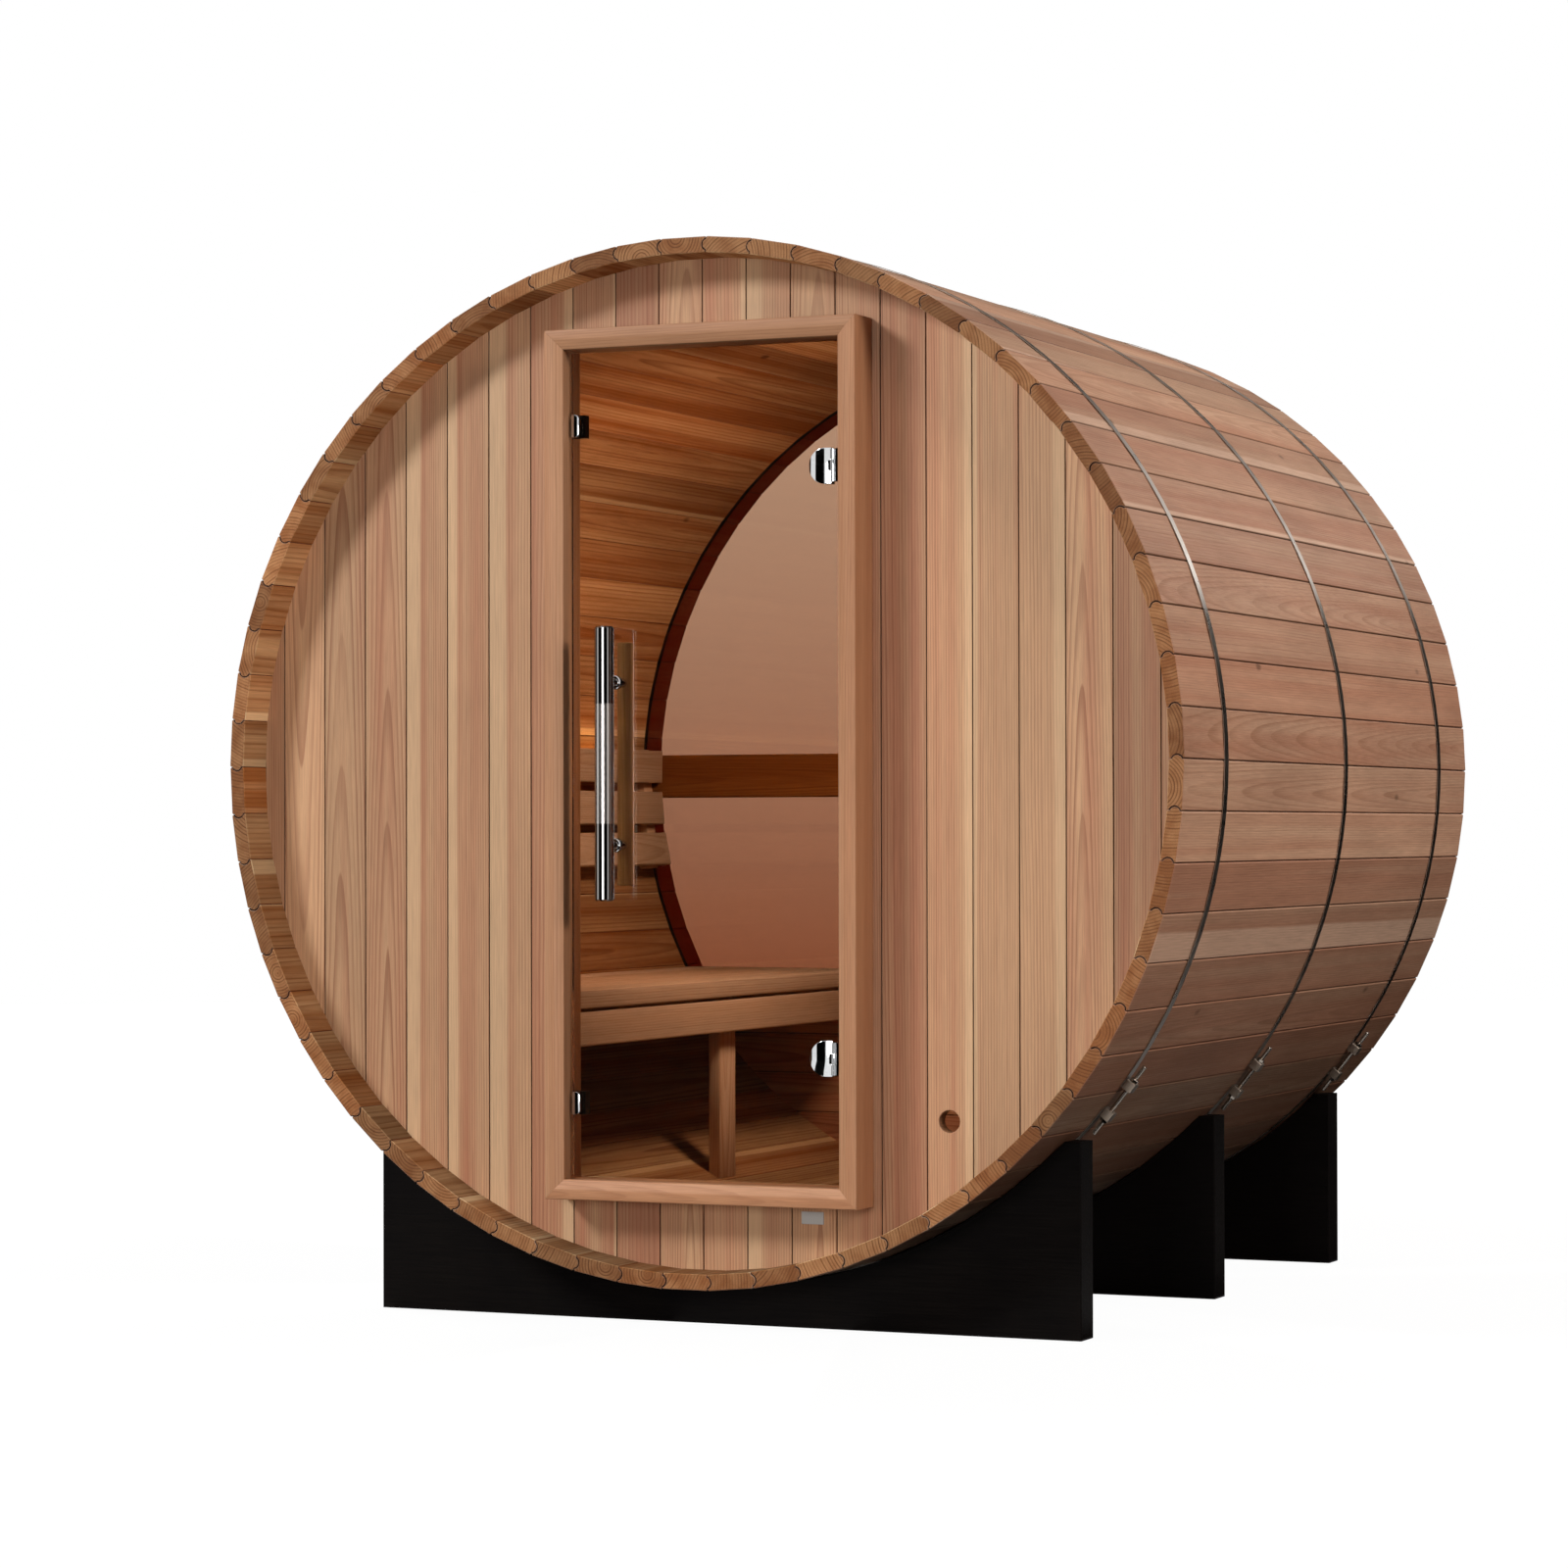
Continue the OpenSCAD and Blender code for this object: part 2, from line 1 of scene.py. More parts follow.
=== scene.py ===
import json
import bmesh
import bpy
import numpy as np
from mathutils import Matrix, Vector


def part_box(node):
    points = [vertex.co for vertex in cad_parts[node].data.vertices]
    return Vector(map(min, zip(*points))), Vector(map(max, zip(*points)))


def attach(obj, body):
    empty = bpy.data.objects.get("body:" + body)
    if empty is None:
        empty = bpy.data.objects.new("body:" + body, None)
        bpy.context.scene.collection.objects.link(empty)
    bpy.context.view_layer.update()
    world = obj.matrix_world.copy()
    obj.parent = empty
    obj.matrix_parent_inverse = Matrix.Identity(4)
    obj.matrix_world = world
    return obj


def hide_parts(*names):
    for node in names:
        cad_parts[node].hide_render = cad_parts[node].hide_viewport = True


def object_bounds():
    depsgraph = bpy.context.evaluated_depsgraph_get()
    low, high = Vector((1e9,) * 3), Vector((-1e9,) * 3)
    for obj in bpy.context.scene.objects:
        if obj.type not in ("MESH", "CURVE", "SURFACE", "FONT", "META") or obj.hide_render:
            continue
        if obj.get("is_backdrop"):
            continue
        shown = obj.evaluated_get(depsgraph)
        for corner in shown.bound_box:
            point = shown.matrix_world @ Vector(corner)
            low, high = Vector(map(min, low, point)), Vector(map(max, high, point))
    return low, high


# %% [markdown]
# # Barrel sauna
# A barrel sauna is a ring of cedar staves on black cradles, with a boarded front wall,
# a framed glass door and a glazed rear end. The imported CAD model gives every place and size.
# It could be dressed by giving each node a material alone, but planed boards have eased
# edges, dark joints and a grain of their own, so every wooden node gets boards built here,
# while glass, hoops and pull handle keep their CAD shape and take a finish.

# %% Load the frame and read its sizes
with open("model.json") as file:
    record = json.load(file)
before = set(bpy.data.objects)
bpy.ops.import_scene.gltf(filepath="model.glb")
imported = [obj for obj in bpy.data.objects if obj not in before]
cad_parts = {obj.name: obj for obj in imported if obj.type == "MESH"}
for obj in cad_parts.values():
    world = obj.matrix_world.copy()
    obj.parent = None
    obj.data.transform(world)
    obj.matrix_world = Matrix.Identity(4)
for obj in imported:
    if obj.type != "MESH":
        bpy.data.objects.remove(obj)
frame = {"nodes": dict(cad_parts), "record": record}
cad_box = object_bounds()
MM = 0.001
X, Y, Z = np.eye(3)
boxes = {name: np.array(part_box(name)) for name in frame["nodes"]}
STAVE_NODES = ["staves_upper_right", "staves_top", "staves_upper_left",
               "staves_lower_left", "staves_bottom", "staves_lower_right"]
ring_box = np.array([boxes[name] for name in STAVE_NODES])
ring_lo, ring_hi = ring_box[:, 0].min(0), ring_box[:, 1].max(0)
FRONT, BACK = ring_lo[1], ring_hi[1]
AXIS = (ring_lo[2] + ring_hi[2]) / 2
OUTER = (ring_hi[2] - ring_lo[2]) / 2
STAVE_T = 28 * MM
INNER = OUTER - STAVE_T
chance = np.random.default_rng(11)
print("barrel axis at z", round(AXIS, 4), "stave faces at", round(OUTER, 4), "and", round(INNER, 4))

# %% [markdown]
# ## One way to add a shader node, and one way to read a colour
# Every finish below is a small graph of nodes. A graph could be drawn by hand in the editor;
# here one short function adds a node, sets its properties and joins its sockets. A colour mix
# has its factor in socket 0, its two colours in 6 and 7, and its result in output 2.
# Colours are written as they look on a screen and turned into linear light once.

# %% Colour and node helpers
TIMES = {"operation": "MULTIPLY"}
EASED = {"interpolation_type": "SMOOTHSTEP"}
COLOUR = {"data_type": "RGBA"}
# the range that most of a noise pattern lies in
MOST = {"From Min": 0.3, "From Max": 0.7}


def linear(code):
    """sRGB hex to linear RGBA: c / 12.92 up to 0.04045, above that ((c + 0.055) / 1.055) ** 2.4."""
    c = np.array([int(code[i:i + 2], 16) for i in (1, 3, 5)]) / 255
    return (*np.where(c <= 0.04045, c / 12.92, ((c + 0.055) / 1.055) ** 2.4).tolist(), 1.0)


def join(node, inputs):
    """Gives each socket named in `inputs` its value, or a link from another node's output."""
    for key, value in inputs.items():
        if isinstance(value, bpy.types.NodeSocket):
            node.id_data.links.new(value, node.inputs[key])
        else:
            node.inputs[key].default_value = value


def add(tree, kind, inputs, out=0, **settings):
    """Adds one shader node with its settings and inputs, and hands back one of its outputs."""
    made = tree.nodes.new("ShaderNode" + kind)
    for key, value in settings.items():
        setattr(made, key, value)
    join(made, inputs)
    return made.outputs[out]


def finish_of(name):
    """A new material of that name, with its tree and its main shader."""
    made = bpy.data.materials.new(name)
    made.use_nodes = True
    return made, made.node_tree, made.node_tree.nodes["Principled BSDF"]


print("mid grey #808080 is", round(linear("#808080")[0], 4), "in linear light")

# %% [markdown]
# ## Cedar
# A board shows a slice of the log it was sawn from. Growth rings are cylinders round the pith,
# so a board cut far from the pith shows straight lines, one cut near it shows arches, and a
# sawn end shows arcs. An even wood pattern on every board would look printed. Here each board
# carries two attributes: `grain`, its place in a log of its own in metres, and `board`, its
# tone, its redness and how deep a point lies in a joint. The finish works the rings out from them.
# The tone also carries painted shade on the door frame's head and low in the cabin, and the joint depth
# carries painted shade on the lower edge of each stave.

# %% Patterns along the log
# each row: its name, waves to the metre along and across the log, and the noise's detail and roughness
WOOD_PATTERNS = (
    ("sway", 1.4, 11, 2.0, 0.5),     # the rings sway in waves 0.7 m long and 90 mm across
    ("fibre", 12, 650, 3.0, 0.6),    # fibres 1.5 mm wide, 80 mm long: coarser than real, so that they show
    ("streak", 0.55, 34, 2.0, 0.5),  # heartwood in bands 30 mm wide that run most of a board
    ("patch", 2.5, 8, 4.0, 0.6))     # weathered patches 120 mm across and 400 mm long


def wood_patterns(t, log):
    """Noise stretched along the log, one output for each row of WOOD_PATTERNS."""
    found = {}
    for pattern, along, over, detail, roughness in WOOD_PATTERNS:
        place = add(t, "VectorMath", {0: log, 1: (along, over, over)}, **TIMES)
        noise = {"Vector": place, "Scale": 1.0, "Detail": detail, "Roughness": roughness}
        found[pattern] = add(t, "TexNoise", noise, "Fac")
    return found


print("patterns in the wood:", [row[0] for row in WOOD_PATTERNS])

# %% Year rings
SWAY_DEPTH = 9 * MM
# where in a ring the late wood begins, is full and breaks off, and how strong it is in the poorest year
LATE_FROM, LATE_FULL, LATE_END = 0.35, 0.93, 0.94
POOR_YEAR = 0.25


def year_rings(t, log, sway, ring_mm):
    """Distance to the pith with its sway, and how dark the late wood is there. The distance over the ring
    width counts the rings, and its fraction runs from spring to autumn."""
    off = add(t, "VectorMath", {0: log, 1: (0, 1, 1)}, **TIMES)
    pith = add(t, "VectorMath", {0: off}, "Value", operation="LENGTH")
    swayed = add(t, "Math", {0: sway, 1: SWAY_DEPTH, 2: pith}, operation="MULTIPLY_ADD")
    rings = add(t, "Math", {0: swayed, 1: 1 / (ring_mm * MM)}, **TIMES)
    within = add(t, "Math", {0: rings}, operation="FRACT")
    rise = add(t, "MapRange", {"Value": within, "From Min": LATE_FROM, "From Max": LATE_FULL}, **EASED)
    fall = add(t, "MapRange", {"Value": within, "From Min": 1.0, "From Max": LATE_END}, **EASED)
    late_wood = add(t, "Math", {0: rise, 1: fall}, **TIMES)
    # good and poor years: each ring has its own strength
    year = add(t, "Math", {0: rings}, operation="FLOOR")
    luck = add(t, "TexWhiteNoise", {"W": year}, "Value", noise_dimensions="1D")
    strength = add(t, "MapRange", {"Value": luck, "To Min": POOR_YEAR, "To Max": 1.0})
    return swayed, add(t, "Math", {0: strength, 1: late_wood}, **TIMES)


print("late wood runs over", round((1 - LATE_FROM) * 100), "% of a ring")

# %% The cedar finish
# heartwood turns to sapwood within 6 mm, and rings are weak there
SAP_EDGE, SAP_RINGS = 6 * MM, 0.35
# small knots, 6 mm across and 12 mm long with a soft rim, about one in 0.3 m of board
KNOT_WAVES, KNOT_CORE, KNOT_RIM = (3.2, 6.5, 6.5), 0.02, 0.07
# how far fibres shade the wood and change its gloss, and how far the rings stand out beside them
FIBRE_DARK, FIBRE_LIGHT = 0.86, 1.12
FIBRE_MATT, FIBRE_GLOSS, RING_RELIEF = 0.12, 0.1, 0.6


def cedar(name, early, late, heart, ring_mm=5.5, rough=0.5, shine=0.3, ring_force=0.62, weather=0.06,
          knots=0.0, bands=0.45, joint="#2a170c", sap=None, sap_from=0.18):
    """Planed cedar. Its colour runs from early wood to heart where the board is red, to sap past `sap_from`
    metres from the pith and to late in each ring. It is multiplied by tone, fibre, weather and knots."""
    made, t, shader = finish_of(name)
    log = add(t, "Attribute", {}, "Vector", attribute_name="grain")
    marks = add(t, "Attribute", {}, "Vector", attribute_name="board")
    board = add(t, "SeparateXYZ", {0: marks}).node.outputs
    pattern = wood_patterns(t, log)
    swayed, dark = year_rings(t, log, pattern["sway"], ring_mm)
    swing = add(t, "MapRange", {"Value": pattern["streak"], **MOST, "To Min": -bands, "To Max": bands})
    redness = add(t, "Math", {0: swing, 1: board["Y"]}, operation="ADD", use_clamp=True)
    body = add(t, "Mix", {0: redness, 6: linear(early), 7: linear(heart)}, 2, **COLOUR)
    if sap:
        outer_wood = {"Value": swayed, "From Min": sap_from, "From Max": sap_from + SAP_EDGE}
        outside = add(t, "MapRange", outer_wood, **EASED)
        body = add(t, "Mix", {0: outside, 6: body, 7: linear(sap)}, 2, **COLOUR)
        weak = add(t, "MapRange", {"Value": outside, "To Min": 1.0, "To Max": SAP_RINGS})
        dark = add(t, "Math", {0: dark, 1: weak}, **TIMES)
    force = add(t, "Math", {0: dark, 1: ring_force}, **TIMES)
    ringed = add(t, "Mix", {0: force, 6: body, 7: linear(late)}, 2, **COLOUR)
    level = {"Value": pattern["fibre"], **MOST, "To Min": FIBRE_DARK, "To Max": FIBRE_LIGHT}
    worn = {"Value": pattern["patch"], **MOST, "To Min": 1 - weather, "To Max": 1 + weather}
    knot_place = add(t, "VectorMath", {0: log, 1: KNOT_WAVES}, **TIMES)
    knot_far = add(t, "TexVoronoi", {"Vector": knot_place, "Scale": 1.0}, "Distance")
    knot = {"Value": knot_far, "From Min": KNOT_CORE, "From Max": KNOT_RIM, "To Min": 1 - knots}
    tone = board["X"]
    for share in (add(t, "MapRange", level), add(t, "MapRange", worn), add(t, "MapRange", knot, **EASED)):
        tone = add(t, "Math", {0: tone, 1: share}, **TIMES)
    shaded = add(t, "HueSaturation", {"Value": tone, "Color": ringed})
    height = add(t, "Math", {0: dark, 1: RING_RELIEF, 2: pattern["fibre"]}, operation="MULTIPLY_ADD")
    matt = {"Value": pattern["fibre"], "To Min": rough + FIBRE_MATT, "To Max": rough - FIBRE_GLOSS}
    join(shader, {"Base Color": add(t, "Mix", {0: board["Z"], 6: shaded, 7: linear(joint)}, 2, **COLOUR),
                  "Roughness": add(t, "MapRange", matt),
                  "Normal": add(t, "Bump", {"Strength": 0.35, "Distance": 0.5 * MM, "Height": height}),
                  "Specular IOR Level": shine})
    return made


print("knots", round(2 * KNOT_CORE / KNOT_WAVES[1] / MM), "mm across")

# %% The woods
# planed cedar out in the weather: tan with soft lines, a few small knots and next to no gloss
stave_wood = cedar("cedar_staves_planed", "#b79379", "#855c43", "#a4775f", ring_mm=4.4, shine=0.07,
                   ring_force=0.5, weather=0.13, knots=0.5, sap="#c6a38b")
# sawn ends drink the oil: dark and matt, with the rings as strong arcs
stave_ends = cedar("cedar_end_grain", "#a87a52", "#5c351a", "#875632", rough=0.7, shine=0.2, ring_force=0.95)
# oiled inner faces, honey brown in lamplight; their rings are drawn 8 mm wide, coarser than real ones,
# so that they show through the door
stave_inside = cedar("cedar_staves_inside", "#d6b084", "#7a4522", "#a0683c", ring_mm=8.0, shine=0.01,
                     ring_force=0.55, weather=0.1, knots=0.6, bands=0.4, joint="#ab2f10", sap="#dfc096")
# planed wall boards: no two alike, from red heartwood to cream strips of sapwood, with a soft sheen
board_wood = cedar("cedar_wall_boards_planed", "#c39b77", "#87533a", "#b37d5f", ring_mm=4.6,
                   ring_force=0.7, bands=0.55, sap="#cfab86", sap_from=0.166)
# planed door frame: fine straight grain, more even than the wall behind it
frame_wood = cedar("cedar_frame_planed", "#c49672", "#9b6848", "#b7835f", ring_mm=3.4, ring_force=0.45)
# rear rail: darker and redder than the other cedar, a dark brown bar against the bright glass
rail_wood = cedar("cedar_rail_oiled", "#8f5f30", "#5d3413", "#7c4a20", ring_mm=3.4, shine=0.02,
                  ring_force=0.5)
# sanded bench: the palest wood here, smooth and dull
bench_wood = cedar("cedar_bench_sanded", "#e2ccb6", "#b8947a", "#d2b498", ring_mm=4.6, shine=0.03)
# oiled hardwood grip: straw yellow, close-grained, polished a little by hands
grip_wood = cedar("hardwood_grip_oiled", "#e6c898", "#a8834e", "#cfa974", ring_mm=3.0, rough=0.4)
print("cedar finishes:", [m.name for m in bpy.data.materials if m.name.startswith("cedar")])

# %% [markdown]
# ## From rings of points to a closed piece
# A board is a section carried along a line. The section is a loop of points, and each stop on
# the line is one ring. Joining neighbouring rings gives the long faces, and a cap closes each
# end. Bevel modifiers could ease the edges, but the eased corners are simply part of the
# loops here, which keeps every attribute exact.

# %% Helpers that make pieces
def shells(rings, closed, start):
    """Faces over rings[board, ring, point], counted from `start`: quads between neighbouring rings, then a
    cap on both ends unless the rings close on themselves."""
    b, m, n, _ = rings.shape
    i = start + np.arange(b * m * n).reshape(b, m, n)
    j = np.roll(i, -1, 2)
    if closed:
        quads = np.stack([i, j, np.roll(j, -1, 1), np.roll(i, -1, 1)], -1)
        return quads.reshape(-1, 4).tolist(), []
    quads = np.stack([i[:, :-1], j[:, :-1], j[:, 1:], i[:, 1:]], -1)
    return quads.reshape(-1, 4).tolist(), [*i[:, 0, ::-1].tolist(), *i[:, -1].tolist()]


def skin(rings, grain=None, board=None, closed=False):
    """One skin of a piece: its rings with their grain and board marks, plain where none are given."""
    grain = np.zeros(rings.shape) if grain is None else grain
    board = np.broadcast_to([1.0, 0.5, 0.0], rings.shape) if board is None else board
    return rings, grain, board, closed


def piece(name, skins, looks, body="barrel", nodes=(), angle=32, stripe=None):
    """One object from its skins. Caps take the second look if there is one, and `stripe` names the look
    of each face round a section where it has more than one."""
    quads, caps, count = [], [], 0
    for rings, _, _, closed in skins:
        sides, ends = shells(rings, closed, count)
        quads += sides
        caps += ends
        count += rings.size // 3
    points, grains, boards = (np.concatenate([s[i].reshape(-1, 3) for s in skins]) for i in range(3))
    mesh = bpy.data.meshes.new(name)
    mesh.from_pydata(points.tolist(), [], quads + caps)
    for look in looks:
        mesh.materials.append(look)
    index = np.repeat([0, min(1, len(looks) - 1)], [len(quads), len(caps)])
    if stripe is not None:
        index[:len(quads)] = np.tile(stripe, len(quads) // len(stripe))
    mesh.polygons.foreach_set("material_index", index)
    outward = bmesh.new()
    outward.from_mesh(mesh)
    bmesh.ops.recalc_face_normals(outward, faces=outward.faces)
    outward.to_mesh(mesh)
    outward.free()
    for label, values in (("grain", grains), ("board", boards)):
        mesh.attributes.new(label, "FLOAT_VECTOR", "POINT").data.foreach_set("vector", values.ravel())
    mesh.shade_smooth()
    mesh.set_sharp_from_angle(angle=np.radians(angle))
    made = bpy.data.objects.new(name, mesh)
    bpy.context.scene.collection.objects.link(made)
    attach(made, body)
    if nodes:
        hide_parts(*nodes)


def inset(loop, d):
    """Moves each corner of an anticlockwise loop inward, by d from both of its sides."""
    side = np.roll(loop, -1, -2) - loop
    side = side / np.linalg.norm(side, axis=-1, keepdims=True)
    n = np.stack([-side[..., 1], side[..., 0]], -1)
    m = n + np.roll(n, 1, -2)
    return loop + d * m / np.maximum((m * m).sum(-1, keepdims=True) / 2, 0.5)


print("a bar of 4 rings with 8 points each has", [len(f) for f in shells(np.zeros((1, 4, 8, 3)), False, 0)],
      "long faces and caps")

# %% Grain and tone of each board
def from_log(points, centre, along, across, out, flat=0.35, rng=chance):
    """Where points[board, ...] lie in their logs: metres along the grain, and the offset from a pith that
    leans a little. A share `flat` of the boards is sawn near the pith, which gives arches, and the rest
    far from it, which gives lines."""
    b = len(points)
    lone = (b,) + (1,) * (points.ndim - 2)
    near = rng.random(b) < flat
    turn = rng.choice([-1.0, 1.0], b)
    sideways = np.where(near, rng.uniform(-0.018, 0.018, b), turn * rng.uniform(0.07, 0.16, b))
    inward = np.where(near, rng.uniform(0.025, 0.06, b), rng.uniform(0.0, 0.11, b))
    lean = np.where(near, rng.uniform(0.012, 0.035, b), rng.uniform(0.0, 0.012, b))
    lean = lean * rng.choice([-1.0, 1.0], b)
    start = rng.uniform(0, 60, b)
    rows = [np.broadcast_to(v, (b, 3)).reshape(lone + (3,)) for v in (centre, along, across, out)]
    off = points - rows[0]
    g, u, w = ((off * axis).sum(-1) for axis in rows[1:])
    start, sideways, inward, lean = (v.reshape(lone) for v in (start, sideways, inward, lean))
    return np.stack([g + start, u - sideways, w + inward + lean * g], -1)


def tones(points, deep, spread=0.12, red=0.3, rng=chance):
    """Tone, redness and joint depth of each point: the first two drawn once for each board, the last given
    for each point of a loop."""
    b = len(points)
    lone = (b,) + (1,) * (points.ndim - 2)
    tone = rng.normal(1.0, spread, b).clip(1 - 2 * spread, 1 + 2 * spread)
    heart = rng.normal(0.5, red, b).clip(0, 1)
    full = np.ones(points.shape[:-1])
    return np.stack([full * tone.reshape(lone), full * heart.reshape(lone), full * deep], -1)


sample = tones(np.zeros((5, 3)), 0.0, rng=np.random.default_rng(1))
print("five boards might have the tones", sample[:, 0].round(2))

# %% [markdown]
# ## Staves
# The shell is 66 staves. Each has a round bead along one edge that turns in the cove of its
# neighbour, so a flat board can follow a circle without an open joint; the bead and cove show
# on the sawn ends. A cylinder with lines drawn on it would miss those ends. The section is
# worked out once, turned to 66 places, and carried from the front to the back, with its ends eased.

# %% Stave section
STAVES = 66
half = np.pi / STAVES
BEAD_CHORD, BEAD_RISE, SEAM = 20 * MM, 7 * MM, 1.1 * MM
CHAMFER, INNER_CHAMFER = 2.0 * MM, 0.6 * MM
bead_r = (BEAD_CHORD ** 2 / 4 + BEAD_RISE ** 2) / (2 * BEAD_RISE)
bead_at = (OUTER - STAVE_T / 2) / np.cos(half)
edge_dir = np.array([np.cos(half), np.sin(half)])
bead_c = bead_at * edge_dir + (bead_r - BEAD_RISE) * np.array([np.sin(half), -np.cos(half)])
one_back = np.array([[np.cos(2 * half), np.sin(2 * half)], [-np.sin(2 * half), np.cos(2 * half)]])
cove_c = one_back @ bead_c


def stave_edge(r):
    """Half width of a stave at distance r from the barrel axis: r tan(half pitch) less half a seam."""
    return r * np.tan(half) - SEAM / 2


def corner_at(r):
    """The corner of a chamfer at distance r from the barrel axis, on the edge of the stave."""
    return np.array([[r, stave_edge(r)]])


def round_edge(centre, radius, first, last, count=11):
    """Arc of a circle between the directions of two points."""
    a = [np.arctan2(*(point - centre)[::-1]) for point in (first, last)]
    s = np.linspace(*a, count)
    return centre + radius * np.stack([np.cos(s), np.sin(s)], -1)


def flat_face(r, half_width, count):
    """Points on a flat face at distance r, from -half_width to half_width."""
    return np.stack([np.full(count, r), np.linspace(-half_width, half_width, count)], -1)


# the parts of the section in turn: outer face, chamfer, bead, chamfer, inner face, chamfer, cove, chamfer
top_point, low_point = ((bead_at + s * BEAD_CHORD / 2) * edge_dir for s in (1, -1))
flip = np.array([1, -1])
shoulder, heel = corner_at(OUTER - CHAMFER), corner_at(INNER + INNER_CHAMFER)
section = [flat_face(OUTER, stave_edge(OUTER) - CHAMFER, 5), shoulder,
           round_edge(bead_c, bead_r - SEAM / 2, top_point, low_point), heel,
           flat_face(INNER, stave_edge(INNER) - INNER_CHAMFER, 4)[::-1], heel * flip,
           round_edge(cove_c, bead_r + SEAM / 2, low_point * flip, top_point * flip), shoulder * flip]
counts = [len(part) for part in section]
stave_deep = np.repeat([0, 0.12, 0.95, 0.45, 0, 0.45, 0.95, 0.12], counts)
stave_side = np.repeat([0, 0, 0, 2, 2, 0, 0, 0], counts)
inner = np.repeat([0, 0, 0, 1, 1, 1, 0, 0], counts)
section = np.concatenate(section)
print("stave section:", len(section), "points, bead radius", round(bead_r / MM, 2), "mm")

# %% Staves round the barrel
# ends are eased, cut up to TRIM_MM short, and faces sit up to SINK_MM low, as in a shell put up by hand
END_EASE, TRIM_MM, SINK_MM = 1.3 * MM, 1.2, 0.7
# one ring of points lies this far behind the front, in metres
MID_STOP = 0.5


def around_axis(angle, r, y):
    """Points at distance r from the barrel axis, with their outward and turning directions."""
    out = np.stack([np.cos(angle), 0 * angle, np.sin(angle)], -1)
    return out * r + [0, y, AXIS], out, np.stack([-np.sin(angle), 0 * angle, np.cos(angle)], -1)


theta = (2 * np.arange(STAVES) + 1) * half
stave_at, radial, tangent = around_axis(theta, OUTER, 0.0)
rear_pane = boxes["rear_glass_upper"][:, 1].mean()
eased = inset(section, END_EASE)
loops = np.stack([eased, *[section] * 5, eased])
trim = chance.uniform(0, TRIM_MM, (2, STAVES)) * MM
sink = chance.uniform(0, SINK_MM, STAVES) * MM
stops = np.stack([FRONT + trim[0], FRONT + trim[0] + END_EASE, np.full(STAVES, FRONT + MID_STOP),
                  np.full(STAVES, rear_pane - MM), np.full(STAVES, rear_pane + MM),
                  BACK - trim[1] - END_EASE, BACK - trim[1]], -1)
r = loops[None, :, :, 0] - sink[:, None, None]
s = np.broadcast_to(loops[None, :, :, 1], r.shape)
cos_t, sin_t = (f(theta)[:, None, None] for f in (np.cos, np.sin))
stave_rings = np.stack([r * cos_t - s * sin_t, np.broadcast_to(stops[:, :, None], r.shape),
                        AXIS + r * sin_t + s * cos_t], -1)
print("staves:", STAVES, "with", r[0].size, "points each")

# %% Grain and wear of the staves
# shares of full joint depth for painted shade on the lower edges and for red stain, and of tone taken low in
# the cabin as painted shade
LOWER_EDGE_SHADE, STAIN, LOW_CABIN_SHADE = 0.85, 0.86, 0.42
stave_grain = from_log(stave_rings, stave_at, Y, tangent, radial, flat=0.3)
deep = np.tile(stave_deep, (STAVES, len(loops), 1))
deep[:, [0, -1]] = 0
# painted shade darkens the lower edge of each stave, where it faces down, and its upper edge stays light
lower_edge = np.where(np.cos(theta) > 0, sum(counts[:7]), counts[0])
deep[np.arange(STAVES)[:, None], np.arange(1, len(loops) - 1), lower_edge[:, None]] = LOWER_EDGE_SHADE
stave_board = tones(stave_rings, deep, spread=0.11, red=0.22)
# inner faces and sawn ends are cut from other parts of the tree, so they have a tone of their own
other = np.random.default_rng(23)
tone = stave_board[..., 0]
tone[:, 1:-1] *= 1 + other.uniform(-0.24, 0.2, (STAVES, 1, 1)) * inner
tone[:, [0, -1]] *= other.uniform(0.78, 1.2, (STAVES, 2, 1))
# painted shade: the inner faces of the lower staves are darker towards the bottom of the cabin
low_down = ((-np.sin(theta) - 0.3) / 0.3).clip(0, 1)
tone[:, 1:-1] *= 1 - LOW_CABIN_SHADE * low_down[:, None, None] * inner
# the inner faces behind the rear glass are open to the weather, and are stained red
stave_board[..., 2] = np.maximum(stave_board[..., 2], STAIN * np.outer([0, 0, 0, 0, 1, 1, 0], inner))
for picks, node_name in zip(np.split(np.arange(STAVES), len(STAVE_NODES)), STAVE_NODES):
    skins = [skin(stave_rings[picks], stave_grain[picks], stave_board[picks])]
    piece(node_name + "_boards", skins, [stave_wood, stave_ends, stave_inside],
          nodes=[node_name], stripe=stave_side)
    print(node_name, "of", len(picks), "staves")

# %% [markdown]
# ## Boards of the front wall
# The wall is made of tongue-and-groove boards, 84.6 mm to the joint, with a small V along each
# joint. Their ends follow the round of the barrel, and the doorway leaves short boards over and
# under it. One panel with a line pattern would have one grain; here each board is its own solid.

# %% One wall board
JOINT, V_WIDE, V_DEEP, GAP = 84.6 * MM, 1.1 * MM, 1.6 * MM, 0.35 * MM
JOINT_SHADE = 0.92
WALL_R = INNER + 2 * MM
WALL_FRONT, WALL_BACK = boxes["front_wall_left"][:, 1]
BAYS = range(-11, 11)
wall_seed = {k: chance.integers(1 << 30) for k in BAYS}
# bays whose boards are sawn near the pith, and so show arches on pale wood
ARCHED, ARCHED_RED = (-10, -9, -8, -1, 2, 8), 0.4


